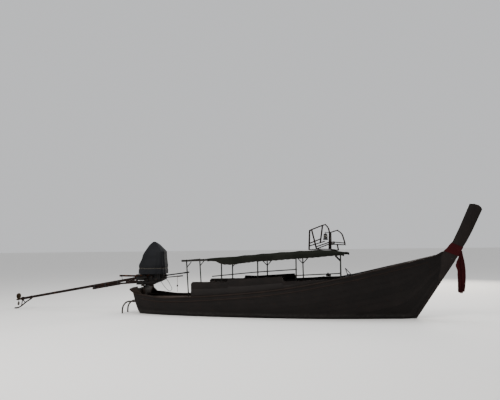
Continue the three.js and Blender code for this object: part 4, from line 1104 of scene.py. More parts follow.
hood_rows = [hood_ring(z) for z in evenly(HOOD_LOW, 2.405, 62)]
peak = Vector((-4.098, 0, HOOD_PEAK))
hood_rows.append([p.lerp(peak, 0.9) for p in hood_rows[-1]])
hood_uvs = [[(k / HOOD_SIDES * 2.7, i * 0.019) for k in range(HOOD_SIDES + 1)]
            for i in range(len(hood_rows))]
hood = through_rows("hood", hood_rows, loop=True, uvs=hood_uvs)
reworked(hood.data, close_peak)
apply_modifier(hood, "SOLIDIFY", thickness=0.003, offset=-1)
done(smooth(hood, 60), "hood_sheet", "engine_cover", "engine")

# %% The hood's rope, drawn tight round it and following its folds
ROPE_RADIUS = 0.0055
tie_ring = hood_ring(HOOD_TIE)
middle = sum(tie_ring, Vector()) / len(tie_ring)
rope_path = [p + (p - middle).normalized() * ROPE_RADIUS * 0.6 + Vector((0, 0, 0.006 * sin(k * 0.4)))
             for k, p in enumerate(tie_ring + tie_ring[:3])]
done(pipe("hood_rope", rope_path, ROPE_RADIUS, 8, reach=0.01, steps=1), "pale_rope", body="engine")
print("hood tied at", HOOD_TIE, "m")

# %% [markdown]
# ## Cloths on the prow
# The prow's neck is wound with long cloths, and their ends hang down in front. A wound cloth shows as
# overlapping bands, so the wrap is one closed sleeve whose girth swells and pinches at each turn, with
# slanted creases. Each tail is a sheet folded lengthwise like a fan, hanging under its own weight.

# %% Wrap round the neck
WRAP_AFT = mm([(5343, 1993), (5421, 2062), (5560, 2233)])
WRAP_FORE = mm([(5752, 1826), (5850, 2016), (5893, 2086)])
WRAP_TURNS, WRAP_SIDES, WRAP_ROWS = 6, 72, 60
NECK_HALF = 0.03


def along_line(points, share):
    points = [Vector(p) for p in points]
    lengths = [(b - a).length for a, b in zip(points, points[1:])]
    distance = share * sum(lengths)
    for a, b, length in zip(points, points[1:], lengths):
        if distance <= length + 1e-9:
            return a.lerp(b, distance / length)
        distance -= length
    return points[-1]


def wrap_ring(share):
    """A rounded oblong round the neck, fuller in the middle of each turn of the cloth."""
    aft, fore = along_line(WRAP_AFT, share), along_line(WRAP_FORE, share)
    middle, half = (aft + fore) / 2, (fore - aft) / 2
    ring = []
    for k in range(WRAP_SIDES):
        angle = tau * k / WRAP_SIDES
        band = abs(sin((share * WRAP_TURNS + angle / tau * 0.9) * pi)) ** 0.6
        crease = noise.noise(Vector((cos(angle) * 1.5, sin(angle) * 1.5, share * 9)))
        swell = (0.004 + 0.008 * band + 0.004 * crease) * min(1, 0.35 + 2.2 * (1 - share))
        along, across = squared(cos(angle), 0.45), squared(sin(angle), 0.45)
        flat = middle + half.normalized() * along * (half.length - 0.004 + swell * 0.6)
        ring.append(Vector((flat.x, across * (NECK_HALF + 0.002 + swell), flat.y)))
    return ring


wrap_rows = [wrap_ring(share) for share in evenly(0, 1, WRAP_ROWS)]
wrap_uvs = [[(k / WRAP_SIDES * 0.98, i * 0.0055) for k in range(WRAP_SIDES + 1)]
            for i in range(WRAP_ROWS + 1)]
wrap = through_rows("neck_wrap", wrap_rows, loop=True, uvs=wrap_uvs)
apply_modifier(wrap, "SOLIDIFY", thickness=0.004, offset=-1)
done(smooth(wrap, 70), "dark_sash", "prow_wrap")

# %% Hanging tails and their knot
RIBBON_FORE = mm([
    (740, 5850), (790, 5874), (880, 5896), (994, 5914), (1200, 5925), (1427, 5926), (1600, 5918),
    (1717, 5904), (1834, 5876), (1921, 5862), (2012, 5852),
])
RIBBON_AFT = mm([
    (740, 5708), (770, 5690), (860, 5680), (1280, 5682), (1380, 5692), (1430, 5688), (1500, 5664),
    (1660, 5672), (1759, 5722), (1834, 5746), (1892, 5772), (1951, 5796), (2012, 5812),
])
TAILS = [
    # first and last share of the width, sideways offset, height of the lower end, folds, phase
    (0.0, 0.5, -0.016, 0.772, 5, 0.3), (0.3, 0.78, 0.014, 0.752, 6, 1.7),
    (0.52, 1.0, -0.012, 0.8, 5, 2.9), (0.1, 0.62, 0.02, 0.905, 5, 4.1),
    (0.45, 0.95, -0.021, 1.12, 6, 5.2),
]
TAIL_TOP, TAIL_LOW = 1.985, 0.75
TAIL_FOLDS, TAIL_ROWS = 40, 70


def tail_row(z, first, last, offset, folds, phase):
    aft, fore = straight_between(RIBBON_AFT, z), straight_between(RIBBON_FORE, z)
    drop = (TAIL_TOP - z) / (TAIL_TOP - TAIL_LOW)
    depth, near = 0.005 + 0.009 * min(1, drop * 3), min(1.0, 0.45 + drop * 3)
    row = []
    for k in range(TAIL_FOLDS + 1):
        share = first + (last - first) * k / TAIL_FOLDS
        fold = sin(k / TAIL_FOLDS * folds * tau / 2 + phase + 0.5 * sin(z * 5 + phase))
        drift = 0.5 * noise.noise(Vector((share * 3, z * 2.2, phase * 3)))
        x = aft + (fore - aft) * (0.03 + 0.94 * share) + (0.004 * sin(k * 0.9 + z * 7) + 0.006 * drift)
        row.append(Vector((x, offset * near + depth * (fold + drift), z)))
    return row


def tail(number, first, last, offset, low, folds, phase):
    rows, uvs = [], []
    for z in evenly(TAIL_TOP, low, TAIL_ROWS):
        row = tail_row(z, first, last, offset, folds, phase)
        if len(rows) == TAIL_ROWS:
            row = [p + Vector((0, 0, 0.012 * sin(k * 0.35 + phase))) for k, p in enumerate(row)]
        rows.append(row)
        uvs.append([(girth, z) for girth in running(row)])
    made = through_rows(f"tail_{number}", rows, uvs=uvs)
    area = sum(face.area for face in made.data.polygons)
    apply_modifier(made, "SOLIDIFY", thickness=0.0016, offset=0)
    done(smooth(made, 70), "dark_sash" if number % 2 else "red_sash", "prow_ribbon" if number == 1 else None)
    return area


tail_areas = [tail(number + 1, *row) for number, row in enumerate(TAILS)]

KNOT_AT = Vector((5.6905, 0, 1.56))
bpy.ops.mesh.primitive_uv_sphere_add(segments=40, ring_count=24, radius=1, location=(0, 0, 0))
knot = mesh_object("tail_knot")
for point in knot.data.vertices:
    way = point.co.normalized()
    fold = 0.12 * sin(atan2(way.y, way.x) * 7 + way.z * 4) + 0.22 * noise.noise(way * 2.3)
    pinch = 1 - 0.3 * exp(-(way.z / 0.18) ** 2)
    point.co = KNOT_AT + Vector((way.x * 0.036, way.y * 0.033, way.z * 0.062)) * (1 + fold) * pinch
done(smooth(knot, 80), "dark_sash")
print("tails:", len(TAILS), "areas", [round(a, 2) for a in tail_areas])

# %% [markdown]
# ## Ladders, lamp post and anchor
# A boarding ladder of bent tube lies on the roof beside a short lamp post, a second one hangs over the
# stern, and a grapnel lies on the foredeck. Tube is bent, not mitred, so its corners are round. Flat
# treads are screwed between the roof ladder's frames, and the stern ladder's rungs wear rubber sleeves.

# %% Roof ladder
LADDER_HALF, LADDER_TUBE = 0.06, 0.015


def ladder_foot(x):
    return (x, roof_top(x, LADDER_HALF) + COVER_LIFT + COVER_THICKNESS + LADDER_TUBE + 0.0008)


LADDER_LINES = [
    # one side's bars as points (x, z), and how wide their bends are
    ([ladder_foot(1.312), (1.344, 2.678), (1.7, 2.808), (1.853, 2.856), (1.95, 2.728), (1.975, 2.583),
      ladder_foot(1.95)], 0.05),
    ([(1.962, 2.306), (2.2, 2.288), (2.424, 2.262)], 0.05),
    ([(1.41, 2.7), ladder_foot(1.552)], 0.03),
    ([(1.759, 2.822), (1.675, 2.278)], 0.03),
    ([(1.975, 2.59), (2.228, 2.666), (2.37, 2.544), (2.462, 2.203), (1.96, 2.238)], 0.07),
    ([ladder_foot(x) for x in (1.312, 1.46, 1.62, 1.74, 1.86, 1.95, 2.1, 2.24)] + [(2.205, 2.24)], 0.03),
]
ladder_parts = [pipe("tube", [(x, y, z) for x, z in line], LADDER_TUBE, reach=reach)
                for y in (-LADDER_HALF, LADDER_HALF) for line, reach in LADDER_LINES]
ladder_parts += [pipe("bar", [(x, -LADDER_HALF, z), (x, LADDER_HALF, z)], LADDER_TUBE)
                 for x, z in ((1.344, 2.678), (1.853, 2.856), (2.228, 2.666), (2.462, 2.203))]
assembled("roof_ladder_tubes", ladder_parts, "tube_paint", "roof_ladder", slot="steel")

TREAD_THICK = 0.03
TREADS = mm([
    (1318, 2262, 1701, 2407), (1318, 2184, 1826, 2327), (1536, 2155, 1948, 2290),
    (1590, 2105, 1948, 2235),
])


def tread(x0, z0, x1, z1):
    """A flat board between two points of the side view."""
    size = (hypot(x1 - x0, z1 - z0), 2 * (LADDER_HALF + 0.012), TREAD_THICK)
    return block("tread", ((x0 + x1) / 2, 0, (z0 + z1) / 2), size, (0, -atan2(z1 - z0, x1 - x0), 0))


assembled("roof_ladder_treads", [tread(*row) for row in TREADS], "cross_timber")

LAMP_X = 2.003
lamp_foot = roof_top(LAMP_X, 0) + 0.0133
LAMP_BARS = [
    # name, lower end, upper end, x at the upper end, radius, sides, width of the ends
    ("post", lamp_foot, 2.61, LAMP_X, 0.026, 20, 0.8), ("branch", 2.59, 2.61, 1.82, 0.011, 12, 0.8),
    ("foot", lamp_foot, lamp_foot + 0.014, LAMP_X, 0.038, 24, 0.95),
    ("collar", 2.555, 2.6, LAMP_X, 0.031, 20, 0.93),
]
lamp_parts = [pipe(name, [(LAMP_X, 0, low), (x, 0, top)], radius, sides, ends=ends)
              for name, low, top, x, radius, sides, ends in LAMP_BARS]
assembled("lamp_post", lamp_parts, "painted_steel", "roof_post")
print("treads:", len(TREADS))

# %% Stern ladder and anchor
STERN_LADDER_YS = (-0.515, -0.15)
STERN_BEND = mm([
    (-4700, 408), (-4790, 410), (-4860, 394), (-4930, 354), (-5004, 272), (-5040, 178), (-5048, 60),
])
RUNGS = mm([(-5043, -60), (-5036, -250), (-5031, -400)])


def bent(name, line, radius, ends=0.8):
    """A bent tube along a side view's line on each side of the stern ladder."""
    return [pipe(name, [(x, y, z) for x, z in line], radius, 18, ends=ends) for y in STERN_LADDER_YS]


def rungs(name, ys, radius, sides, ends=0.8):
    return [pipe(name, [(x, y, z) for y in ys], radius, sides, ends=ends) for x, z in RUNGS]


pad_face = [AFT_END - z * TRANSOM_RAKE - 0.0004 for z in (0.34, 0.46)]
pad_turn = (0, -atan(TRANSOM_RAKE), 0)
ladder_parts = bent("rail", [(-4.528, 0.395)] + STERN_BEND + [(-5.03, -0.42)], 0.022)
ladder_parts += [block("pad", (sum(pad_face) / 2 - 0.006, y, 0.4), (0.011, 0.064, 0.12), pad_turn)
                 for y in STERN_LADDER_YS]
ladder_parts += rungs("rung", STERN_LADDER_YS, 0.016, 14)
assembled("stern_ladder_tubes", ladder_parts, "tube_paint", "stern_ladder", slot="steel")
assembled("stern_ladder_sleeves", rungs("sleeve", (-0.48, -0.185), 0.0205, 16, 0.85), "rubber")
grips = bent("grip", STERN_BEND + [(-5.0455, -0.008)], 0.0265, 0.85)
assembled("stern_ladder_grips", grips, "dark_rope", slot="rubber")

CROWN_X, CROWN_Z, RING_X, CLAW = 2.49, 1.291, 3.12, 0.2
ring_z = sheer(RING_X) - 0.035 + 0.0124
low = asin((CROWN_Z - (sheer(2.434) - 0.035) - 0.042) / CLAW)
anchor_parts = [pipe("shank", [(CROWN_X, 0, CROWN_Z), (RING_X, 0, ring_z)], 0.012)]
for angle in (pi / 2, pi + low, -low):
    tip = (CROWN_X - 0.056, CLAW * cos(angle), CROWN_Z + CLAW * sin(angle))
    path = [(CROWN_X + 0.119, 0, CROWN_Z), tip, (CROWN_X + 0.009, 0, CROWN_Z)]
    anchor_parts.append(pipe("claw", path, 0.013, 12, reach=0.02))
anchor_parts.append(pipe("crown", [(CROWN_X - 0.012, 0, CROWN_Z), (CROWN_X + 0.03, 0, CROWN_Z)], 0.022, 16))
anchor_parts.append(hoop("shackle", (RING_X - 0.008, 0, ring_z + 0.012), 0.026, 0.005, (28, 10),
                         (pi / 2, 0, 0)))
assembled("anchor_iron", anchor_parts, "galvanised", "anchor")
print("rungs:", len(RUNGS), "claws: 3")

# %% [markdown]
# ## Turned parts and fastenings
# Flanges, hubs, filters and grips are turned on a lathe: a profile of radii along an axis. A profile may
# run back inside itself, which leaves a pipe's mouth open. A bolt is modelled once, a hexagon with a
# washer, and copied wherever a flange needs it.

# %% Lathe and bolts
def lathe(name, start, end, profile, sides=28):
    """A round part about the line from start to end; profile is (distance from start, radius) pairs."""
    start, end = Vector(start), Vector(end)
    way = (end - start).normalized()
    side = way.orthogonal().normalized()
    other = way.cross(side)
    rows = [[start + way * distance + (side * cos(a) + other * sin(a)) * max(radius, 1e-4)
             for a in all_round(sides)] for distance, radius in profile]
    return closed(name, rows, 32)


def disc_profile(length, radius, edge=0.002):
    return [(0, radius - edge), (edge, radius), (length - edge, radius), (length, radius - edge)]


bpy.ops.mesh.primitive_cylinder_add(vertices=6, radius=1, depth=1.0, location=(0, 0, 0.75))
head = apply_modifier(mesh_object("head"), "BEVEL", width=0.1, segments=2)
bpy.ops.mesh.primitive_cylinder_add(vertices=20, radius=1.35, depth=0.25, location=(0, 0, 0.125))
bolt_pattern = joined("bolt_pattern", [head, mesh_object("washer")])
settle()


def facing(point, way):
    """The turn and place that lay a part's own z along a way from a point."""
    return Matrix.Translation(Vector(point)) @ Vector(way).to_track_quat("Z", "Y").to_matrix().to_4x4()


def bolts(name, places, size, body="engine"):
    """Bolt heads of one size; places are (point, outward direction) pairs."""
    copies = []
    for point, way in places:
        copy = bolt_pattern.copy()
        copy.data = bolt_pattern.data.copy()
        copy.data.transform(facing(point, way) @ Matrix.Scale(size, 4))
        bpy.context.scene.collection.objects.link(copy)
        copies.append(copy)
    return done(smooth(joined(name, copies), 30), "bolt_steel", body=body)


def rounded_box(name, low, high, edge=0.003, segments=3):
    """A block between two corners with rounded edges."""
    low, high = Vector(low), Vector(high)
    return smooth(block(name, (low + high) / 2, high - low, edge=edge, segments=segments), 40)


print("a bolt has", len(bolt_pattern.data.polygons), "faces")

# %% [markdown]
# ## Engine and bed
# A small truck engine sits on two rails that swing on a pin at the stern. Most of it is under the hood, but
# its lower half shows: the casting, the clutch housing, the starter, the filters and the rubber feet. The
# solid block gives the place and the size, and these are added as separate parts.

# %% Engine castings
ENGINE_PARTS = [
    # node, edge, finish, body
    ("engine_block", 0.01, "engine_casting", "engine"), ("engine_bed", 0.003, "painted_steel", "engine"),
    ("swivel_yoke", 0.003, "painted_steel", "swivel"), ("pivot_socket", 0.003, "painted_steel", "hull"),
]
for node, edge, finish, body in ENGINE_PARTS:
    done(planed(node, edge), finish, node, body)

WAYS = (-1, 1)
BLOCK_SIDE = 0.1655
casting = [rounded_box("pan_flange", (-4.448, -0.176, 1.112), (-3.812, 0.176, 1.124)),
           rounded_box("bell_flange", (-4.472, -0.172, 1.09), (-4.448, 0.172, 1.298), 0.01)]
casting += [rounded_box("rib", (x, -0.171, 1.135), (x + 0.012, 0.171, 1.29), 0.004, 2)
            for x in [-4.36 + k * 0.082 for k in range(7)]]
casting += [rounded_box("foot_bracket", (x, way * BLOCK_SIDE - 0.006, 1.075),
                        (x + 0.08, way * BLOCK_SIDE + 0.006, 1.18)) for way in WAYS for x in (-4.33, -4.0)]
assembled("engine_ribs", casting, "engine_casting", body="engine")

FITTINGS = [
    # name, start, end, profile
    ("starter", (-4.448, -0.222, 1.19), (-4.25, -0.222, 1.19),
     mm([(0, 26), (2, 44), (30, 46), (32, 40), (150, 40), (152, 43), (175, 43), (180, 36), (198, 34),
         (200, 12)])),
    ("solenoid", (-4.44, -0.222, 1.25), (-4.33, -0.222, 1.25), disc_profile(0.11, 0.022, 0.004)),
    ("oil_filter", (-4.08, -0.166, 1.205), (-4.08, -0.262, 1.205),
     mm([(0, 30), (12, 32), (14, 39), (85, 40), (95, 34), (96, 10)])),
    ("fuel_filter", (-4.12, 0.205, 1.275), (-4.12, 0.205, 1.165),
     mm([(0, 20), (2, 34), (22, 36), (24, 30), (90, 30), (108, 16)])),
]
fittings = [lathe(*row) for row in FITTINGS]
fittings.append(rounded_box("holder", (-4.15, 0.166, 1.255), (-4.09, 0.225, 1.277), 0.004))
assembled("engine_fittings", fittings, "painted_steel", body="engine")

FOOT_PROFILE = mm([(0, 8.5), (3, 10.5), (12, 8.5), (22, 10.5), (33.6, 8.5)])
feet, shelves = [], []
for x, way in [(x, way) for x in (-4.29, -3.96) for way in WAYS]:
    y = way * 0.1545
    feet.append(lathe("foot", (x, y, 1.0604), (x, y, 1.094), FOOT_PROFILE, 18))
    shelves.append(rounded_box("shelf", (x - 0.03, y - 0.0145, 1.052), (x + 0.03, y + 0.0125, 1.06), 0.002))
assembled("engine_feet", feet, "rubber", body="engine")
assembled("engine_shelves", shelves, "painted_steel", body="engine")


def on_sides(y, xs, z):
    """Places for bolts along both sides of the engine."""
    return [((x, way * y, z), (0, way, 0)) for way in WAYS for x in xs]


def on_ends(x, ys, zs, way):
    return [((x, y, z), (way, 0, 0)) for y in ys for z in zs]


PIVOT_X = -4.46
bolts("pan_bolts", on_sides(0.1765, [-4.42 + 0.0846 * k for k in range(8)], 1.118), 0.0048)
bolts("bell_bolts", on_ends(-4.4722, (-0.15, 0.15), (1.115, 1.175, 1.235, 1.28), -1), 0.007)
bolts("rail_bolts", on_sides(0.1402, (-4.695, -4.66, -4.25, -4.215), 0.998), 0.0085)
bolts("plate_bolts", on_ends(-3.6998, (-0.115, 0.115), (1.15, 1.205, 1.26), 1), 0.008)
places = [((PIVOT_X + dx, dy, 0.852), (0, 0, 1)) for dx in (-0.068, 0.068) for dy in (-0.092, 0.092)]
bolts("socket_bolts", places, 0.0085, "hull")
bolts("trunnion_nuts", on_sides(0.1692, (PIVOT_X,), 0.985), 0.014)
print("engine dressed with", len(casting), "castings")

# %% [markdown]
# ## The long tail
# The shaft runs in a tube five metres long, bolted to the clutch housing. A heavier stay clamped under its
# first third keeps it from whipping, and a guard rod below the propeller takes the knocks in the shallows.
# The propeller's two blades are turned a little less at each radius.

# %% Tail tube, stay and clamps
SHAFT_SLOPE, SHAFT_X, SHAFT_Z = 0.163, -5.279, 1.073
TUBE_RADIUS, STAY_RADIUS, BRACE_BAR, FLANGE_RADIUS = 0.046, 0.042, 0.03, 0.068
TUBE_START, TUBE_END = -4.7593, -9.56


def on_shaft(x, drop=0.0):
    return Vector((x, 0, SHAFT_Z + SHAFT_SLOPE * (x - SHAFT_X) - drop))


def spokes(count, first):
    """Directions square to the shaft, evenly round it."""
    return [shaft_up * cos(a) + Vector((0, 1, 0)) * sin(a) for a in all_round(count, first)]


shaft_way = (on_shaft(-5) - on_shaft(-4)).normalized()
shaft_up = Vector((-shaft_way.z, 0, shaft_way.x)) * -1
flange_at = on_shaft(TUBE_START)
tube_length = (on_shaft(TUBE_END) - flange_at).length
tube_profile = [(0, 0.065), (0.003, FLANGE_RADIUS), (0.018, FLANGE_RADIUS), (0.02, 0.066), (0.022, 0.054),
                (0.088, 0.052), (0.092, 0.048), (0.096, TUBE_RADIUS)]
for distance in (0.9, 2.1, 3.3):
    tube_profile += [(distance + on, TUBE_RADIUS + rise)
                     for on, rise in ((0, 0), (0.003, 0.003), (0.012, 0.003), (0.015, 0))]
tube_profile += [(tube_length - before, radius) for before, radius in (
    (0.115, TUBE_RADIUS), (0.111, 0.055), (0.008, 0.055), (0.004, 0.053), (0, 0.05))]
tail_tube = lathe("tail_tube_long", flange_at, on_shaft(TUBE_END), tube_profile, 32)
done(tail_tube, "tube_paint", "tail_tube", "engine")


def plate(name, corners, half):
    """A flat plate through its corners, half as thick each way as the vector given."""
    rows = [[p + half for p in corners], [p - half for p in corners]]
    return through_rows(name, rows, loop=True, caps=True)


gussets = []
for out in spokes(6, 0.5):
    base = flange_at + shaft_way * 0.02
    corners = [base + out * 0.042, base + out * 0.065, base + shaft_way * 0.1 + out * 0.042]
    gussets.append(plate("gusset", corners, out.cross(shaft_way) * 0.003))
assembled("tail_gussets", gussets, "tube_paint", body="engine")
places = [(flange_at + shaft_way * 0.0202 + out * 0.0613, shaft_way) for out in spokes(6, 0)]
bolts("flange_bolts", places, 0.0048)

STAY_DROP = TUBE_RADIUS + STAY_RADIUS + 0.0006
stay_start, stay_end = on_shaft(-6.5, STAY_DROP), on_shaft(-5.42, STAY_DROP)
stay_length = (stay_end - stay_start).length
stay_profile = [(-STAY_RADIUS * cos(a), max(STAY_RADIUS * sin(a), 0.002))
                for a in [pi / 2 * k / 8 for k in range(9)]]
stay_profile += [(stay_length - 0.03, STAY_RADIUS), (stay_length + 0.03, 0.032), (stay_length + 0.034, 0.02)]
brace_aft, brace_front = on_shaft(-5.43, STAY_DROP), Vector((-4.724, 0, 1.006))


def on_brace(x):
    return brace_aft.lerp(brace_front, (x - brace_aft.x) / (brace_front.x - brace_aft.x))


def under_shaft(x, radius):
    return on_shaft(x, radius * hypot(1, SHAFT_SLOPE) + 0.0008)


web_edge = [on_brace(-5.21), on_brace(-4.735), Vector((-4.735, 0, 1.081)), Vector((-4.765, 0, 1.081)),
            under_shaft(-4.85, FLANGE_RADIUS), under_shaft(-4.864, TUBE_RADIUS),
            under_shaft(-5.21, TUBE_RADIUS)]
stay_parts = [lathe("stay", stay_start, stay_end, stay_profile),
              pipe("brace", [brace_aft, brace_front], BRACE_BAR, 20),
              plate("web", web_edge, Vector((0, -0.005, 0)))]
assembled("tail_stay_bar", stay_parts, "tube_paint", "tail_stay", "engine")


def clamp(x, width=0.03, thick=0.003):
    """A steel strap round the tube and the stay together."""
    rows = []
    for along, grow in ((0, 0.0006), (0, thick), (width, thick), (width, 0.0006)):
        ring = []
        for angle in all_round(40):
            upper = cos(angle) >= 0
            radius = (TUBE_RADIUS if upper else STAY_RADIUS) + grow
            side = Vector((0, 1, 0)) * sin(angle) * radius
            ring.append(on_shaft(x, 0 if upper else STAY_DROP) + shaft_way * along
                        + shaft_up * cos(angle) * radius + side)
        rows.append(ring)
    return smooth(through_rows("clamp", rows + [rows[0]], loop=True), 30)


CLAMPS = (-5.48, -5.98, -6.42)
clamps = [clamp(x) for x in CLAMPS]
lugs = [rounded_box("lug", (x - 0.034, -0.069, z - 0.062), (x - 0.002, -0.04, z - 0.034))
        for x, z in [(x, on_shaft(x).z) for x in CLAMPS]]
assembled("stay_clamps", clamps + lugs, "galvanised", body="engine", slot="")
bolts("clamp_bolts", [((x - 0.018, -0.0692, on_shaft(x).z - 0.048), (0, -1, 0)) for x in CLAMPS], 0.007)
print("tail tube:", round(tube_length, 3), "m")

# %% Guard rod and propeller
SLEEVE_RADIUS = TUBE_RADIUS + 0.009


def under_tube(x, radius):
    return Vector((x, 0, on_shaft(x).z - radius - 0.005))


guard = [under_tube(-9.11, TUBE_RADIUS), (-9.35, 0, 0.267), (-9.56, 0, 0.11), (-9.69, 0, 0.049),
         (-9.86, 0, 0.033)]
skeg_parts = [pipe("guard", guard, 0.025, 16, reach=0.09),
              pipe("strut", [under_tube(-9.492, SLEEVE_RADIUS), (-9.391, 0, 0.24)], 0.018, 12),
              pipe("strut", [under_tube(-9.518, SLEEVE_RADIUS), (-9.562, 0, 0.116)], 0.018, 12)]
for x, radius in ((-9.12, TUBE_RADIUS), (-9.505, SLEEVE_RADIUS)):
    inner, outer = radius + 0.0008, radius + 0.008
    collar = [(0, inner), (0.0005, outer - 0.002), (0.003, outer), (0.057, outer), (0.06, outer - 0.002),
              (0.0608, inner)]
    skeg_parts.append(lathe("collar", on_shaft(x + 0.03), on_shaft(x - 0.03), collar))
assembled("skeg_rod", skeg_parts, "tube_paint", "skeg", "engine")

PROP_X = -9.69
BLADE = [
    # radius, half chord, pitch in degrees, half thickness
    (0.02, 0.04, 48, 0.0075), (0.04, 0.054, 41, 0.007), (0.07, 0.077, 31, 0.0064),
    (0.1, 0.092, 23, 0.0056), (0.13, 0.1, 18, 0.0048), (0.16, 0.097, 15, 0.004),
    (0.185, 0.087, 13, 0.0033), (0.205, 0.068, 12, 0.0027), (0.218, 0.045, 11, 0.0021),
    (0.2245, 0.018, 10, 0.0014),
]
BLADE_FOOT, BLADE_TIP = BLADE[0][0], BLADE[-1][0]


def blade(way):
    rows = []
    for radius in [BLADE_FOOT + (BLADE_TIP - BLADE_FOOT) * (1 - (1 - k / 26) ** 1.6) for k in range(27)]:
        chord, pitch, thick = (on_curve(BLADE, radius, column) for column in (1, 2, 3))
        angle = radians(pitch)
        row = []
        for turn in all_round(24):
            u, w = chord * cos(turn), thick * sin(turn) * (1 - 0.25 * cos(turn))
            w -= 0.035 * chord * (1 - cos(turn) ** 2)
            across = u * cos(angle) - w * sin(angle)
            along = u * sin(angle) + w * cos(angle)
            row.append(Vector((PROP_X + along * way, across, on_shaft(PROP_X).z + way * radius)))
        rows.append(row)
    return closed("blade", rows, 50)


hub_start, hub_end = on_shaft(TUBE_END - 0.0008), on_shaft(PROP_X - 0.12)
HUB = mm([
    # distance from the bush, radius
    (0, 30), (3, 34), (70, 34), (74, 31), (82, 34), (188, 34), (191, 32), (193, 26), (196, 26),
    (198, 24), (214, 22), (216, 17), (236, 14), (246, 8), (252.5, 3),
])
cast = [lathe("hub", hub_start, hub_end, HUB, 36), blade(1), blade(-1)]
assembled("propeller_cast", cast, "propeller_bronze", "propeller", "propeller")
bpy.ops.mesh.primitive_cylinder_add(vertices=6, radius=0.027, depth=0.017, location=(0, 0, 0))
nut = apply_modifier(mesh_object("propeller_nut"), "BEVEL", width=0.002, segments=2)
nut.data.transform(facing(hub_start + shaft_way * 0.196 + shaft_way * 0.0085, -shaft_way))
done(smooth(nut, 30), "bolt_steel", body="propeller", slot="bronze")
print("propeller:", round(2 * BLADE_TIP, 3), "m across")

# %% [markdown]
# ## Tiller, throttle, exhaust and the hanging lines
# The driver steers with a long bar and works the throttle with a shorter one beside it; both end in a
# grip. The exhaust is plain pipe, scaled by its heat, open at its end. A water hose loops under the
# engine's front, and the tiller's tie rope hangs with its wooden toggle. Both are cords of a fixed length,
# drawn along their routes.

# %% Bars and exhaust
BARS = [
    # solid it stands for, name, start, end, radius, sides,
    # start and end of the boss at its foot, its length and radius
    ("tiller_bar", "tiller_pipe", (-3.697, 0.03, 1.246), (-2.82, 0.03, 1.356), 0.022, 20,
     (-3.699, 0.03, 1.2458), (-3.6, 0.03, 1.2582), 0.0998, 0.029),
    ("throttle_lever", "throttle_bar", (-3.698, -0.06, 1.18), (-3.18, -0.06, 1.226), 0.017, 18,
     (-3.699, -0.06, 1.1799), (-3.655, -0.06, 1.1838), 0.0441, 0.025),
]
for node, name, start, end, radius, sides, boss_start, boss_end, boss_length, boss_radius in BARS:
    bar = pipe("bar", [start, end], radius, sides)
    boss = lathe("boss", boss_start, boss_end, disc_profile(boss_length, boss_radius, 0.003))
    assembled(name, [bar, boss], "painted_steel", node, "engine")


def ridged_grip(name, start, end, radius, rings):
    length = (Vector(end) - Vector(start)).length
    pitch = (length - 0.02) / rings
    profile = [(0, radius * 0.8), (0.004, radius)]
    for k in range(rings):
        at = 0.01 + (length - 0.02) * k / rings
        profile += [(at, radius), (at + pitch * 0.35, radius), (at + pitch * 0.5, radius - 0.0016),
                    (at + pitch * 0.85, radius - 0.0016)]
    profile += [(length - 0.004, radius), (length, radius * 0.8)]
    return lathe(name, start, end, profile, 24)


grips = [ridged_grip("grip", (-3.19, -0.06, 1.2251), (-3.011, -0.06, 1.241), 0.023, 14),
         ridged_grip("grip", (-3.02, 0.03, 1.3309), (-2.818, 0.03, 1.3563), 0.0255, 16)]
assembled("bar_grips", grips, "rubber", body="engine")

EXHAUST_Y, EXHAUST_RADIUS, EXHAUST_BORE, HANGER_X = -0.087, 0.032, 0.0285, -5.33
mouth_start, mouth_end = Vector((-4.7498, EXHAUST_Y, 1.233)), Vector((-5.395, EXHAUST_Y, 1.24))
mouth = (mouth_end - mouth_start).length
exhaust = lathe("exhaust", mouth_start, mouth_end, [
    (0, 0.035), (0.002, 0.038), (0.012, 0.038), (0.014, EXHAUST_RADIUS), (mouth - 0.02, EXHAUST_RADIUS),
    (mouth, EXHAUST_RADIUS), (mouth, EXHAUST_BORE), (mouth - 0.2, EXHAUST_BORE), (mouth - 0.2, 0.002)], 26)
strut_way = Vector((0, EXHAUST_Y, 1.239 - on_shaft(HANGER_X).z)).normalized()
strut_foot = on_shaft(HANGER_X) + strut_way * (TUBE_RADIUS + 0.001)
hanger = pipe("hanger", [(HANGER_X, EXHAUST_Y, 1.239), strut_foot], 0.009, 12)
band = lathe("band", mouth_start.lerp(mouth_end, 0.87), mouth_start.lerp(mouth_end, 0.93),
             disc_profile(mouth * 0.06, EXHAUST_RADIUS + 0.0028, 0.001))
manifold = pipe("manifold", [(-4.06, -0.19, 1.272), (-4.56, -0.196, 1.262), (-4.7, -0.16, 1.25),
                             (-4.752, -0.089, 1.234)], 0.023, 16, reach=0.09)
stubs = [pipe("stub", [(x, -0.16, 1.268), (x, -0.192, 1.268)], 0.017) for x in (-4.38, -4.24, -4.1)]
exhaust_run = joined("exhaust_run", [exhaust, hanger, band, manifold] + stubs)
done(exhaust_run, "scaled_iron", "exhaust_pipe", "engine")
print("exhaust:", round(mouth, 3), "m")

# %% Hose and tie rope
def through_curve(points, steps):
    """A smooth curve through points, as even as its spans."""
    points = [Vector(p) for p in points]
    path = []
    for i in range(len(points) - 1):
        p0, p1, p2 = points[max(i - 1, 0)], points[i], points[i + 1]
        p3 = points[min(i + 2, len(points) - 1)]
        for step in range(steps):
            t = step / steps
            path.append(0.5 * (2 * p1 + (p2 - p0) * t + (2 * p0 - 5 * p1 + 4 * p2 - p3) * t * t
                               + (3 * p1 - p0 - 3 * p2 + p3) * t ** 3))
    return path + [points[-1]]


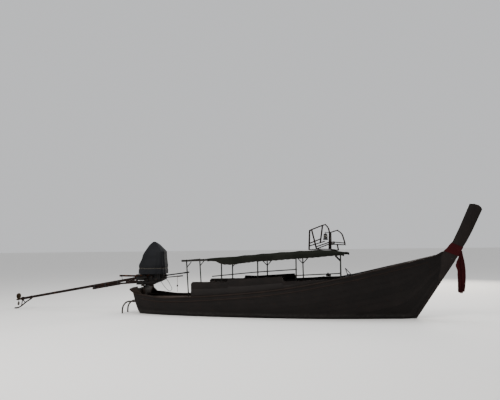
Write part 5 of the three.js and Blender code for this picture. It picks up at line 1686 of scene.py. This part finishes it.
HOSE_ROUTE = mm([
    # x, z
    (-3850, 1119.8), (-3850, 1050), (-3800, 965), (-3735, 888), (-3670, 812), (-3605, 755), (-3535, 728),
    (-3475, 745), (-3450, 800), (-3475, 870), (-3520, 950), (-3575, 1040), (-3632, 1112), (-3672, 1140),
    (-3699.2, 1140),
])
hose_path = through_curve([(x, 0, z) for x, z in HOSE_ROUTE], 5)
hose_length = running(hose_path)[-1]
hose = tube("water_hose", hose_path, [0.008] * len(hose_path), 14, 60)
done(hose, "rubber", "hose_loop", "engine")
spigots = [lathe("spigot", (-3.85, 0, 1.1198), (-3.85, 0, 1.09), disc_profile(0.03, 0.0105)),
           lathe("spigot", (-3.6992, 0, 1.14), (-3.676, 0, 1.14), disc_profile(0.0232, 0.0105))]
hose_ends = assembled("hose_ends", spigots, "bolt_steel", body="engine")

ROPE_X, ROPE_Y, ROPE_TOP, ROPE_END, TOGGLE_Z, TOGGLE_HALF = -3.216, -0.06, 1.2054, 0.708, 0.908, 0.034
HITCH_RADIUS, HITCH_STEPS = 0.0215, 72


def on_rope(z):
    return Vector((ROPE_X, ROPE_Y, z))


rope_path = [on_rope(z) for z in evenly(ROPE_TOP, ROPE_END, 30)]
rope_length = running(rope_path)[-1]
rope = tube("tiller_rope", rope_path, [0.006] * len(rope_path), 10, 60)
done(rope, "red_rope", "tie_rope", "engine")
toggle = lathe("toggle", on_rope(TOGGLE_Z + TOGGLE_HALF), on_rope(TOGGLE_Z - TOGGLE_HALF), mm([
    (0, 9), (3, 16), (12, 23), (24, 27.2), (34, 28), (44, 27.2), (56, 23), (65, 16), (68, 9)]))
done(toggle, "oiled_timber", body="engine")
hitch_path = []
for k in range(HITCH_STEPS + 1):
    angle = tau * k / 24
    x = ROPE_X - 0.014 + 0.028 * k / HITCH_STEPS
    z = 1.2228 + (x - ROPE_X) * 0.0888
    hitch_path.append(Vector((x, ROPE_Y + HITCH_RADIUS * sin(angle), z + HITCH_RADIUS * cos(angle))))
hitch = tube("rope_hitch", hitch_path, [0.0045] * len(hitch_path), 8, 60)
end_knot = lathe("rope_end_knot", on_rope(ROPE_END + 0.016), on_rope(ROPE_END),
                 mm([(0, 6), (3, 9), (8, 9.8), (13, 9), (16, 6)]), 16)
done(hitch, "red_rope", body="engine")
done(end_knot, "red_rope", body="engine")
print("hose:", round(hose_length, 3), "m, rope:", round(rope_length, 3), "m")

# %% [markdown]
# ## Bow and stern joinery
# Where the two gunwales run out at the bow, a breasthook ties them to the stem and a cheek on each side
# fairs them into it. At the stern a knee braces each corner. These are blocks through a few rows of
# sections, with their edges bevelled.

# %% Breasthook, cheeks and knees
def block_rows(name, rows, edge=0.005):
    """A block through rows of corner points, with bevelled edges."""
    made = through_rows(name, rows, loop=True, caps=True)
    return smooth(apply_modifier(made, "BEVEL", width=edge, segments=2, limit_method="ANGLE"), 40)


def hook_row(x, rail_x, width, rise):
    low, top = rail_top(rail_x) - 0.044, rail_top(rail_x) + rise
    return [(x, -width, low), (x, width, low), (x, width, top), (x, -width, top)]


CHEEK = mm([
    # x, low, top, half width
    (5150.4, 1842, 1893, 114), (5200, 1858, 1918, 84), (5260, 1886, 1950, 52), (5330, 1930, 1978, 34),
])
hook_rows = [hook_row(5.0904, 5.09, 0.146, 0.002), hook_row(5.1496, 5.15, 0.112, 0.004)]
hook_pieces = [block_rows("hook", hook_rows, 0.006)]
for way in WAYS:
    rows = [[(x, way * STEM_HALF, low), (x, way * width, low + 0.004), (x, way * (width - 0.006), top),
             (x, way * STEM_HALF, top + 0.004)] for x, low, top, width in CHEEK]
    hook_pieces.append(block_rows("cheek", rows, 0.004))
assembled("breasthook", hook_pieces, "prow_timber")

KNEE = mm([(-4500, 300), (-4500, 575), (-4220, 625), (-4235, 590), (-4400, 500), (-4462, 310)])
knees = [block_rows("knee", [[(x, way * y, z) for x, y in KNEE] for z in (0.56, 0.588)]) for way in WAYS]
assembled("stern_knees", knees, "oiled_timber")
print("joinery pieces:", len(hook_pieces) + len(knees))

# %% Stem ring and the hull's rubbing strakes
RUB_DROP, RUB_AFT, RUB_FORE = 0.15, -4.36, 4.9
RUB_RING = mm([(0, -22), (10, -19), (17, -9), (19, 0), (17, 9), (10, 19), (0, 22)])


def half_width(x, z):
    """The hull's half width at a height."""
    side = section(x, 80)
    k = max(next((k for k, p in enumerate(side) if p.y >= z), len(side) - 1), 1)
    low, high = side[k - 1], side[k]
    return low.lerp(high, (z - low.y) / max(high.y - low.y, 1e-6)).x


def rubbing_strake(x):
    z = rail_top(x) - RUB_DROP
    y = half_width(x, z) - 0.001
    thin = min(1.0, 0.3 + (x - RUB_AFT) * 3, 0.3 + (RUB_FORE - x) * 3)
    return [(y + dy * thin, z + dz) for dy, dz in RUB_RING]


strakes = [moulding("rub", way, evenly(RUB_AFT, RUB_FORE, 110), rubbing_strake) for way in (1, -1)]
assembled("rubbing_strakes", strakes, "oiled_timber")

EYE_X, EYE_Z = 5.56, 1.76
eyes = [lathe("eye", (EYE_X, way * STEM_HALF, EYE_Z), (EYE_X, way * 0.046, EYE_Z), disc_profile(0.0156, 0.02))
        for way in (1, -1)]
eyes += [hoop("eye_loop", (EYE_X, 0.062, EYE_Z), 0.017, 0.005, (24, 10), (0, pi / 2, 0)),
         hoop("hanging_ring", (EYE_X, 0.067, 1.712), 0.04, 0.0055, (36, 10), (pi / 2, 0, radians(6)))]
assembled("stem_ring", eyes, "galvanised")
print("rubbing strake from", RUB_AFT, "to", RUB_FORE, "m")

# %% Stem iron
FOOT_CENTRE, FOOT_RADIUS, STEM_SLOPE = Vector((3.778, 0, 0.425)), 0.835, 1.484
IRON_SECTION = mm([(-21, 0.6), (-20, 4.5), (-11, 8), (0, 9), (11, 8), (20, 4.5), (21, 0.6)])
RIVET = mm([(0, 7.5), (2, 7.2), (3.6, 5.5), (4.4, 2)])
edge = []
for share in [0.45 + 0.55 * k / 12 for k in range(13)]:
    angle = atan(STEM_SLOPE) * share
    out = Vector((sin(angle), 0, -cos(angle)))
    edge.append((FOOT_CENTRE + out * FOOT_RADIUS, out))
arc_end, out = edge[-1]
iron_end = Vector((4.498 + 1.72 / STEM_SLOPE, 0, 1.72))
edge += [(arc_end.lerp(iron_end, k / 14), out) for k in range(1, 15)]
rows = [[at + way * rise + Vector((0, y, 0)) for y, rise in IRON_SECTION] for at, way in edge]
stem_iron = [closed("iron", rows, 40)]
stem_iron += [lathe("rivet", at + way * 0.0085, at + way * 0.02, RIVET, 14) for at, way in edge[2::2]]
assembled("stem_iron", stem_iron, "scaled_iron")
print("stem iron:", round(running([at for at, _ in edge])[-1], 2), "m")

# %% [markdown]
# ## Decks laid in boards
# The decks, the floor and the seats are laid in boards with open seams. The ready-made solids are single
# slabs cut to the hull's inside, so a Boolean modifier cuts each copy by a row of boards, which keeps its
# outline and gives every board its own edges.

# %% Boards cut from slabs
def boarded(node, finish, low, high, width, across=False, edge=0.0015, butts=()):
    """A slab's copy cut into boards between two bounds; across runs them from side to side."""
    slab = copy_of(node, node + "_boards")
    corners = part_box(node)
    axis = 0 if across else 1
    along = 1 - axis
    boards = []
    at, number = low, 0
    while at < high - 0.01:
        stops = [corners[0][along] - 0.1, corners[1][along] + 0.1]
        for butt in butts:
            spot = butt + (0.7 if number % 2 else 0) - (0.35 if number % 3 == 1 else 0)
            if stops[0] < spot < stops[-1]:
                stops.insert(-1, spot)
        for start, end in zip(stops, stops[1:]):
            first, last = [0, 0, corners[0][2] - 0.05], [0, 0, corners[1][2] + 0.05]
            first[axis], last[axis] = at, min(at + width - BOARD_GAP, high)
            first[along], last[along] = start + 0.001, end - 0.001
            bpy.ops.mesh.primitive_cube_add(size=1, location=[(a + b) / 2 for a, b in zip(first, last)])
            bpy.context.object.scale = [b - a for a, b in zip(first, last)]
            boards.append(bpy.context.object)
        at += width
        number += 1
    cutter = joined("cutter", boards)
    settle()
    apply_modifier(slab, "BOOLEAN", operation="INTERSECT", solver="EXACT", object=cutter)
    bpy.data.objects.remove(cutter)
    apply_modifier(slab, "BEVEL", width=edge, segments=1, limit_method="ANGLE", angle_limit=radians(35))
    return done(smooth(slab, 30), finish, node)


BOARD_GAP = 0.004
boarded("foredeck", "deck_boards", -0.9, 0.9, 0.12, butts=(2.6, 3.9))
boarded("aft_deck", "deck_boards", -0.88, 0.88, 0.11, butts=(-3.5,))
boarded("sole", "deck_boards", -0.91, 0.91, 0.14, butts=(-1.6, 0.4, 2.0))
for node in ("thwart_1", "thwart_2", "thwart_3", "thwart_4"):
    (aft, _, _), (fore, _, _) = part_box(node)
    boarded(node, "seat_boards", aft - 0.001, fore + 0.001, (fore - aft + 0.002) / 2, across=True, edge=0.003)

# %% [markdown]
# ## Weatherboard cleats and cap
# Each weatherboard stands on edge, held by cleats nailed to its inside face, and a cap strip covers the
# end grain along the top of every length.

# %% Cleats and caps
def cap_ring(x):
    z, outer = board_top(x) + 0.0003, half_beam(x) - 0.024
    return [(outer, z + 0), (outer, z + 0.007), (outer - 0.003, z + 0.01), (outer - 0.037, z + 0.01),
            (outer - 0.04, z + 0.007), (outer - 0.04, z + 0)]


cleats, caps = [], []
for way in WAYS:
    for x in [-2.2 + 0.62 * k for k in range(8)]:
        if any(abs(x - step) < 0.06 for step in (-1.13, 0.66)):
            x += 0.1
        outer = half_beam(x) - 0.0584
        ys = sorted((way * outer, way * (outer - 0.022)))
        foot, head = rail_top(x) + 0.003, board_top(x) - 0.02
        if head - foot > 0.08:
            cleats.append(rounded_box("cleat", (x - 0.022, ys[0], foot), (x + 0.022, ys[1], head),
                                      segments=2))
    for start, end in ((-2.33, -1.155), (-1.1, 0.625), (0.695, 1.64)):
        caps.append(moulding("cap", way, evenly(start, end, 12), cap_ring, 40))
assembled("board_cleats", cleats, "oiled_timber")
assembled("board_caps", caps, "oiled_timber")
print("cleats:", len(cleats), "cap strips:", len(caps))

# %% [markdown]
# ## Nails, bolts and lashings
# Nails hold every plank to every frame, two a strake, and their heads rust. Bolts hold the heavy timbers.
# The roof is tied, not screwed: cord is wound round each bow and rail where they cross, and round the side
# rails and posts. A winding is drawn as a closed ring a few times over, each a little turned.

# %% Nail heads
NAIL_SIDES, NAIL_RADIUS = 8, 0.0075
NAIL_RINGS = ((-0.001, 1.0), (0.0012, 0.92))
forward = Vector((1, 0, 0))
faces, points = [], []


def nail(centre, out):
    """Adds a nail's head to the points and faces: two rings and a low peak."""
    up = out.cross(forward)
    first, ring = len(points), range(NAIL_SIDES)
    for height, radius in NAIL_RINGS:
        for a in all_round(NAIL_SIDES):
            across = forward * cos(a) + up * sin(a)
            points.append(centre + across * NAIL_RADIUS * radius + out * height)
    points.append(centre + out * 0.0022)
    for j in ring:
        a, b = first + j, first + (j + 1) % NAIL_SIDES
        faces.append((a, b, b + NAIL_SIDES, a + NAIL_SIDES))
        faces.append((a + NAIL_SIDES, b + NAIL_SIDES, first + 2 * NAIL_SIDES))
    faces.append(tuple(first + j for j in reversed(ring)))


for x in [-4.1 + 0.41 * k for k in range(23)]:
    side = section(x, 200)
    run = running(side)
    for place in [strake + share for strake in range(2, STRAKES) for share in (0.22, 0.78)]:
        k = next(k for k, value in enumerate(run) if value >= run[-1] * place / STRAKES)
        q, along = side[k], (side[k] - side[k - 1]).normalized()
        for way in WAYS:
            centre = Vector((x + 0.012 * (1 if place % 1 < 0.5 else -1), way * q.x, q.y))
            nail(centre, Vector((0, way * along.y, -along.x)))
done(smooth(new_piece("plank_nails", points, faces), 40), "scaled_iron")
print("nails:", len(points) // (2 * NAIL_SIDES + 1))

# %% Lashings
def winding(centre, axis, across, half_long, half_wide, turns, radius, pitch=1.9):
    """Cord wound round two bars; the oblong is half_long along across and half_wide square to it."""
    centre, axis, across = Vector(centre), Vector(axis).normalized(), Vector(across).normalized()
    across = (across - axis * across.dot(axis)).normalized()
    other = axis.cross(across)
    made = []
    for turn in range(turns):
        path = []
        for k in range(29):
            angle = tau * k / 28
            u = squared(cos(angle), 0.75) * (half_long + radius)
            v = squared(sin(angle), 0.75) * (half_wide + radius)
            along = (turn - (turns - 1) / 2) * radius * pitch + 0.1 * radius * sin(angle + turn)
            path.append(centre + across * u + other * v + axis * along)
        rows = rings_round(path[:-1] + [path[0]], [radius] * 29, 7)
        rows[-1] = rows[0]
        uvs = [[(i * 0.012, j / 7) for j in range(8)] for i in range(29)]
        made.append(smooth(through_rows("lashing", rows, loop=True, uvs=uvs), 60))
    return made


lashings = []
for x in [x for x in BOWS if x < 2.45]:
    for way in WAYS:
        top, low = roof_top(x, POST_Y) + 0.001, rail_height(x) - RAIL_RADIUS
        lashings += winding((x, way * POST_Y, (top + low) / 2), (0, 1, 0.2 * way), (0, 0, 1), (top - low) / 2,
                            RAIL_RADIUS * 0.55, 3, 0.0036)
aft_rail = SIDE_RAILS["side_rail_aft"]
# number of the post, heights of its lashings
RAIL_TIES = {2: [straight_between(aft_rail, -1.44)], 3: [straight_between(aft_rail, -0.23)],
             4: [1.4785, 1.2922], 5: [1.359]}
for side, number, foot_x, *_ in POSTS:
    if side == "starboard" and number > 1:
        for height in RAIL_TIES[number]:
            lashings += winding((foot_x + 0.01, -(POST_Y + SIDE_RAIL_RADIUS), height), (1, 0, 0.9), (0, 1, 0),
                                POST_RADIUS + SIDE_RAIL_RADIUS, 0.024, 5, 0.0038)
for x, height in ((2.045, 2.262), (2.075, 2.266), (2.105, 2.266)):
    for on, slope, wide in ((0, -0.1, 0.045), (0.012, 0.1, 0.047)):
        lashings += winding((x + on, 0, height), (1, 0, slope), (0, 0, 1), wide, wide + 0.036, 1, 0.006, 1.8)
assembled("roof_lashings", lashings, "dark_rope")
print("windings:", len(lashings))

# %% Bolts in the timbers, and eyelets in the canopy's hem
BEAM_TOP = 0.8402
places = [((5.12, 0.0, rail_top(5.09) + 0.004), (0, 0, 1))]
for xs, y in (((-4.385, -4.525), 0.16), ((-4.47, -4.53), 0.49)):
    places += [((x, way * y, BEAM_TOP), (0, 0, 1)) for x in xs for way in WAYS]
places += [((x, way * 0.6222, z), (0, way, 0)) for x, z in ((-4.64, 0.8), (-4.52, 0.85)) for way in WAYS]
bolts("timber_bolts", places, 0.0095, "hull")
places = [((AFT_END - z * TRANSOM_RAKE - 0.0128, y + dy, z), (-1, 0, -TRANSOM_RAKE))
          for y in STERN_LADDER_YS for z in (0.358, 0.442) for dy in (-0.024, 0.024)]
bolts("ladder_bolts", places, 0.0055, "hull")
places = []
for x0, z0, x1, z1 in TREADS:
    rise = atan2(z1 - z0, x1 - x0)
    up = Vector((-sin(rise), 0, cos(rise)))
    for share in (0.04, 0.96):
        at = Vector((x0 + (x1 - x0) * share, 0, z0 + (z1 - z0) * share)) + up * (TREAD_THICK / 2 + 0.0001)
        places += [(at + Vector((0, y, 0)), up) for y in (-0.045, 0.045)]
bolts("tread_screws", places, 0.0045, "hull")

TIE_TURNS = mm([(24.5, 4), (16, 20), (0, 24.5), (-17, 18), (-24, 0), (-16, -19), (6, -24)])
eyelets, ties = [], []
for way, second in ((-1, 1), (1, -2)):
    for x in [-1.3 + 0.35 * k for k in range(11)]:
        at = canopy_rows[round((x - CANOPY_AFT) / CANOPY_LENGTH * CANOPY_STEPS)][second]
        place = at + Vector((0, way * 0.0025, 0))
        eyelets.append(hoop("eyelet", place, 0.0085, 0.0028, (18, 6), (pi / 2, 0, 0)))
        rail = Vector((at.x, way * POST_Y, rail_height(at.x)))
        if rail.z - at.z > 0.03:
            path = [at + Vector((0, way * 0.004, 0))]
            path += [rail + Vector((0.003 * k, way * y, z)) for k, (y, z) in enumerate(TIE_TURNS)]
            path.append(at + Vector((0.004, -way * 0.003, 0.002)))
            ties.append(pipe("tie", path, 0.0026, 7, reach=0.006, steps=2))
done(smooth(joined("canopy_eyelets", eyelets), 50), "bolt_steel")
assembled("canopy_ties", ties, "dark_rope")
hems = [pipe("hem", [row[end] for row in canopy_rows], 0.0042, 8, reach=0.01, steps=1) for end in (0, -1)]
assembled("canopy_hem_cords", hems, "dark_rope")
print("eyelets:", len(eyelets), "ties:", len(ties))

# %% [markdown]
# ## Lantern on the roof
# A small storm lantern hangs from the short arm of the lamp post: a glass chimney between a tank and a
# vented cap, inside a cage of wire. The glass is turned as a thin wall, so that light passes both faces.
# Cord is wound round the upper part of the post.

# %% Lantern
glass = Finish("lantern_glass", Transmission_Weight=0.85, IOR=1.45, Specular_IOR_Level=0.5)
smoke = glass.band(glass.speckle(14, detail=5), 0.35, 0.75)
glass_tint = glass.blend(smoke, rgb(200, 190, 140), rgb(50, 45, 35))
finishes["lantern_glass"] = glass.show(Base_Color=glass_tint, Roughness=0.08 + smoke * 0.35)

LANTERN_X = 1.845
CAP_TOP, TANK_LOW, WIRE = 2.58, 2.366, 0.0025
CAP = mm([
    (0, 12), (4, 21), (12, 26), (13, 40), (26, 47), (28, 61), (34, 68), (40, 68), (42, 59), (55, 54),
])
TANK = mm([(0, 50), (4, 57), (6, 71), (14, 78), (44, 78), (52, 71), (55, 64)])
CAGE = ((0.062, CAP_TOP - 0.045), (0.076, CAP_TOP - 0.075), (0.076, TANK_LOW + 0.075),
        (0.067, TANK_LOW + 0.045))
BAIL = mm([(54, -30), (52, 4), (20, 40.5), (-20, 40.5), (-52, 4), (-54, -30)])
CHIMNEY = mm([(0, 36), (4, 41), (34, 53), (66, 57), (96, 53), (124, 45)])


def on_lantern(y, z, x=0.0):
    return Vector((LANTERN_X + x, y, z))


def lantern_part(name, top, low, profile):
    return lathe(name, on_lantern(0, top), on_lantern(0, low), profile, 30)


tin = [lantern_part("cap", CAP_TOP, CAP_TOP - 0.055, CAP),
       lantern_part("tank", TANK_LOW + 0.055, TANK_LOW, TANK)]
for angle in all_round(6, 0.5):
    wire = [on_lantern(0, 0) + Vector((cos(angle), sin(angle), 0)) * radius + Vector((0, 0, height))
            for radius, height in CAGE]
    tin.append(pipe("wire", wire, WIRE, 8, reach=0.02))
tin += [hoop("hoop", on_lantern(0, height), 0.0765, 0.0023, (40, 8)) for height in (2.448, 2.498)]
tin.append(pipe("bail", [on_lantern(y, CAP_TOP + rise) for y, rise in BAIL], WIRE, 8, reach=0.02))
assembled("lantern_tin", tin, "galvanised")
thin = [(at, radius - 0.002) for at, radius in reversed(CHIMNEY)]
chimney = lantern_part("lantern_chimney", CAP_TOP - 0.05, TANK_LOW + 0.04, CHIMNEY + thin)
done(chimney, "lantern_glass")
tilt = (radians(3), radians(2), 0)
seizing = [hoop("turn", (LAMP_X, 0, 2.33 + 0.0095 * k), 0.0305, 0.005, (26, 7), tilt) for k in range(26)]
done(smooth(joined("post_winding", seizing), 60), "dark_rope")
print("lantern hangs at", LANTERN_X, "m")
bpy.data.objects.remove(bolt_pattern)
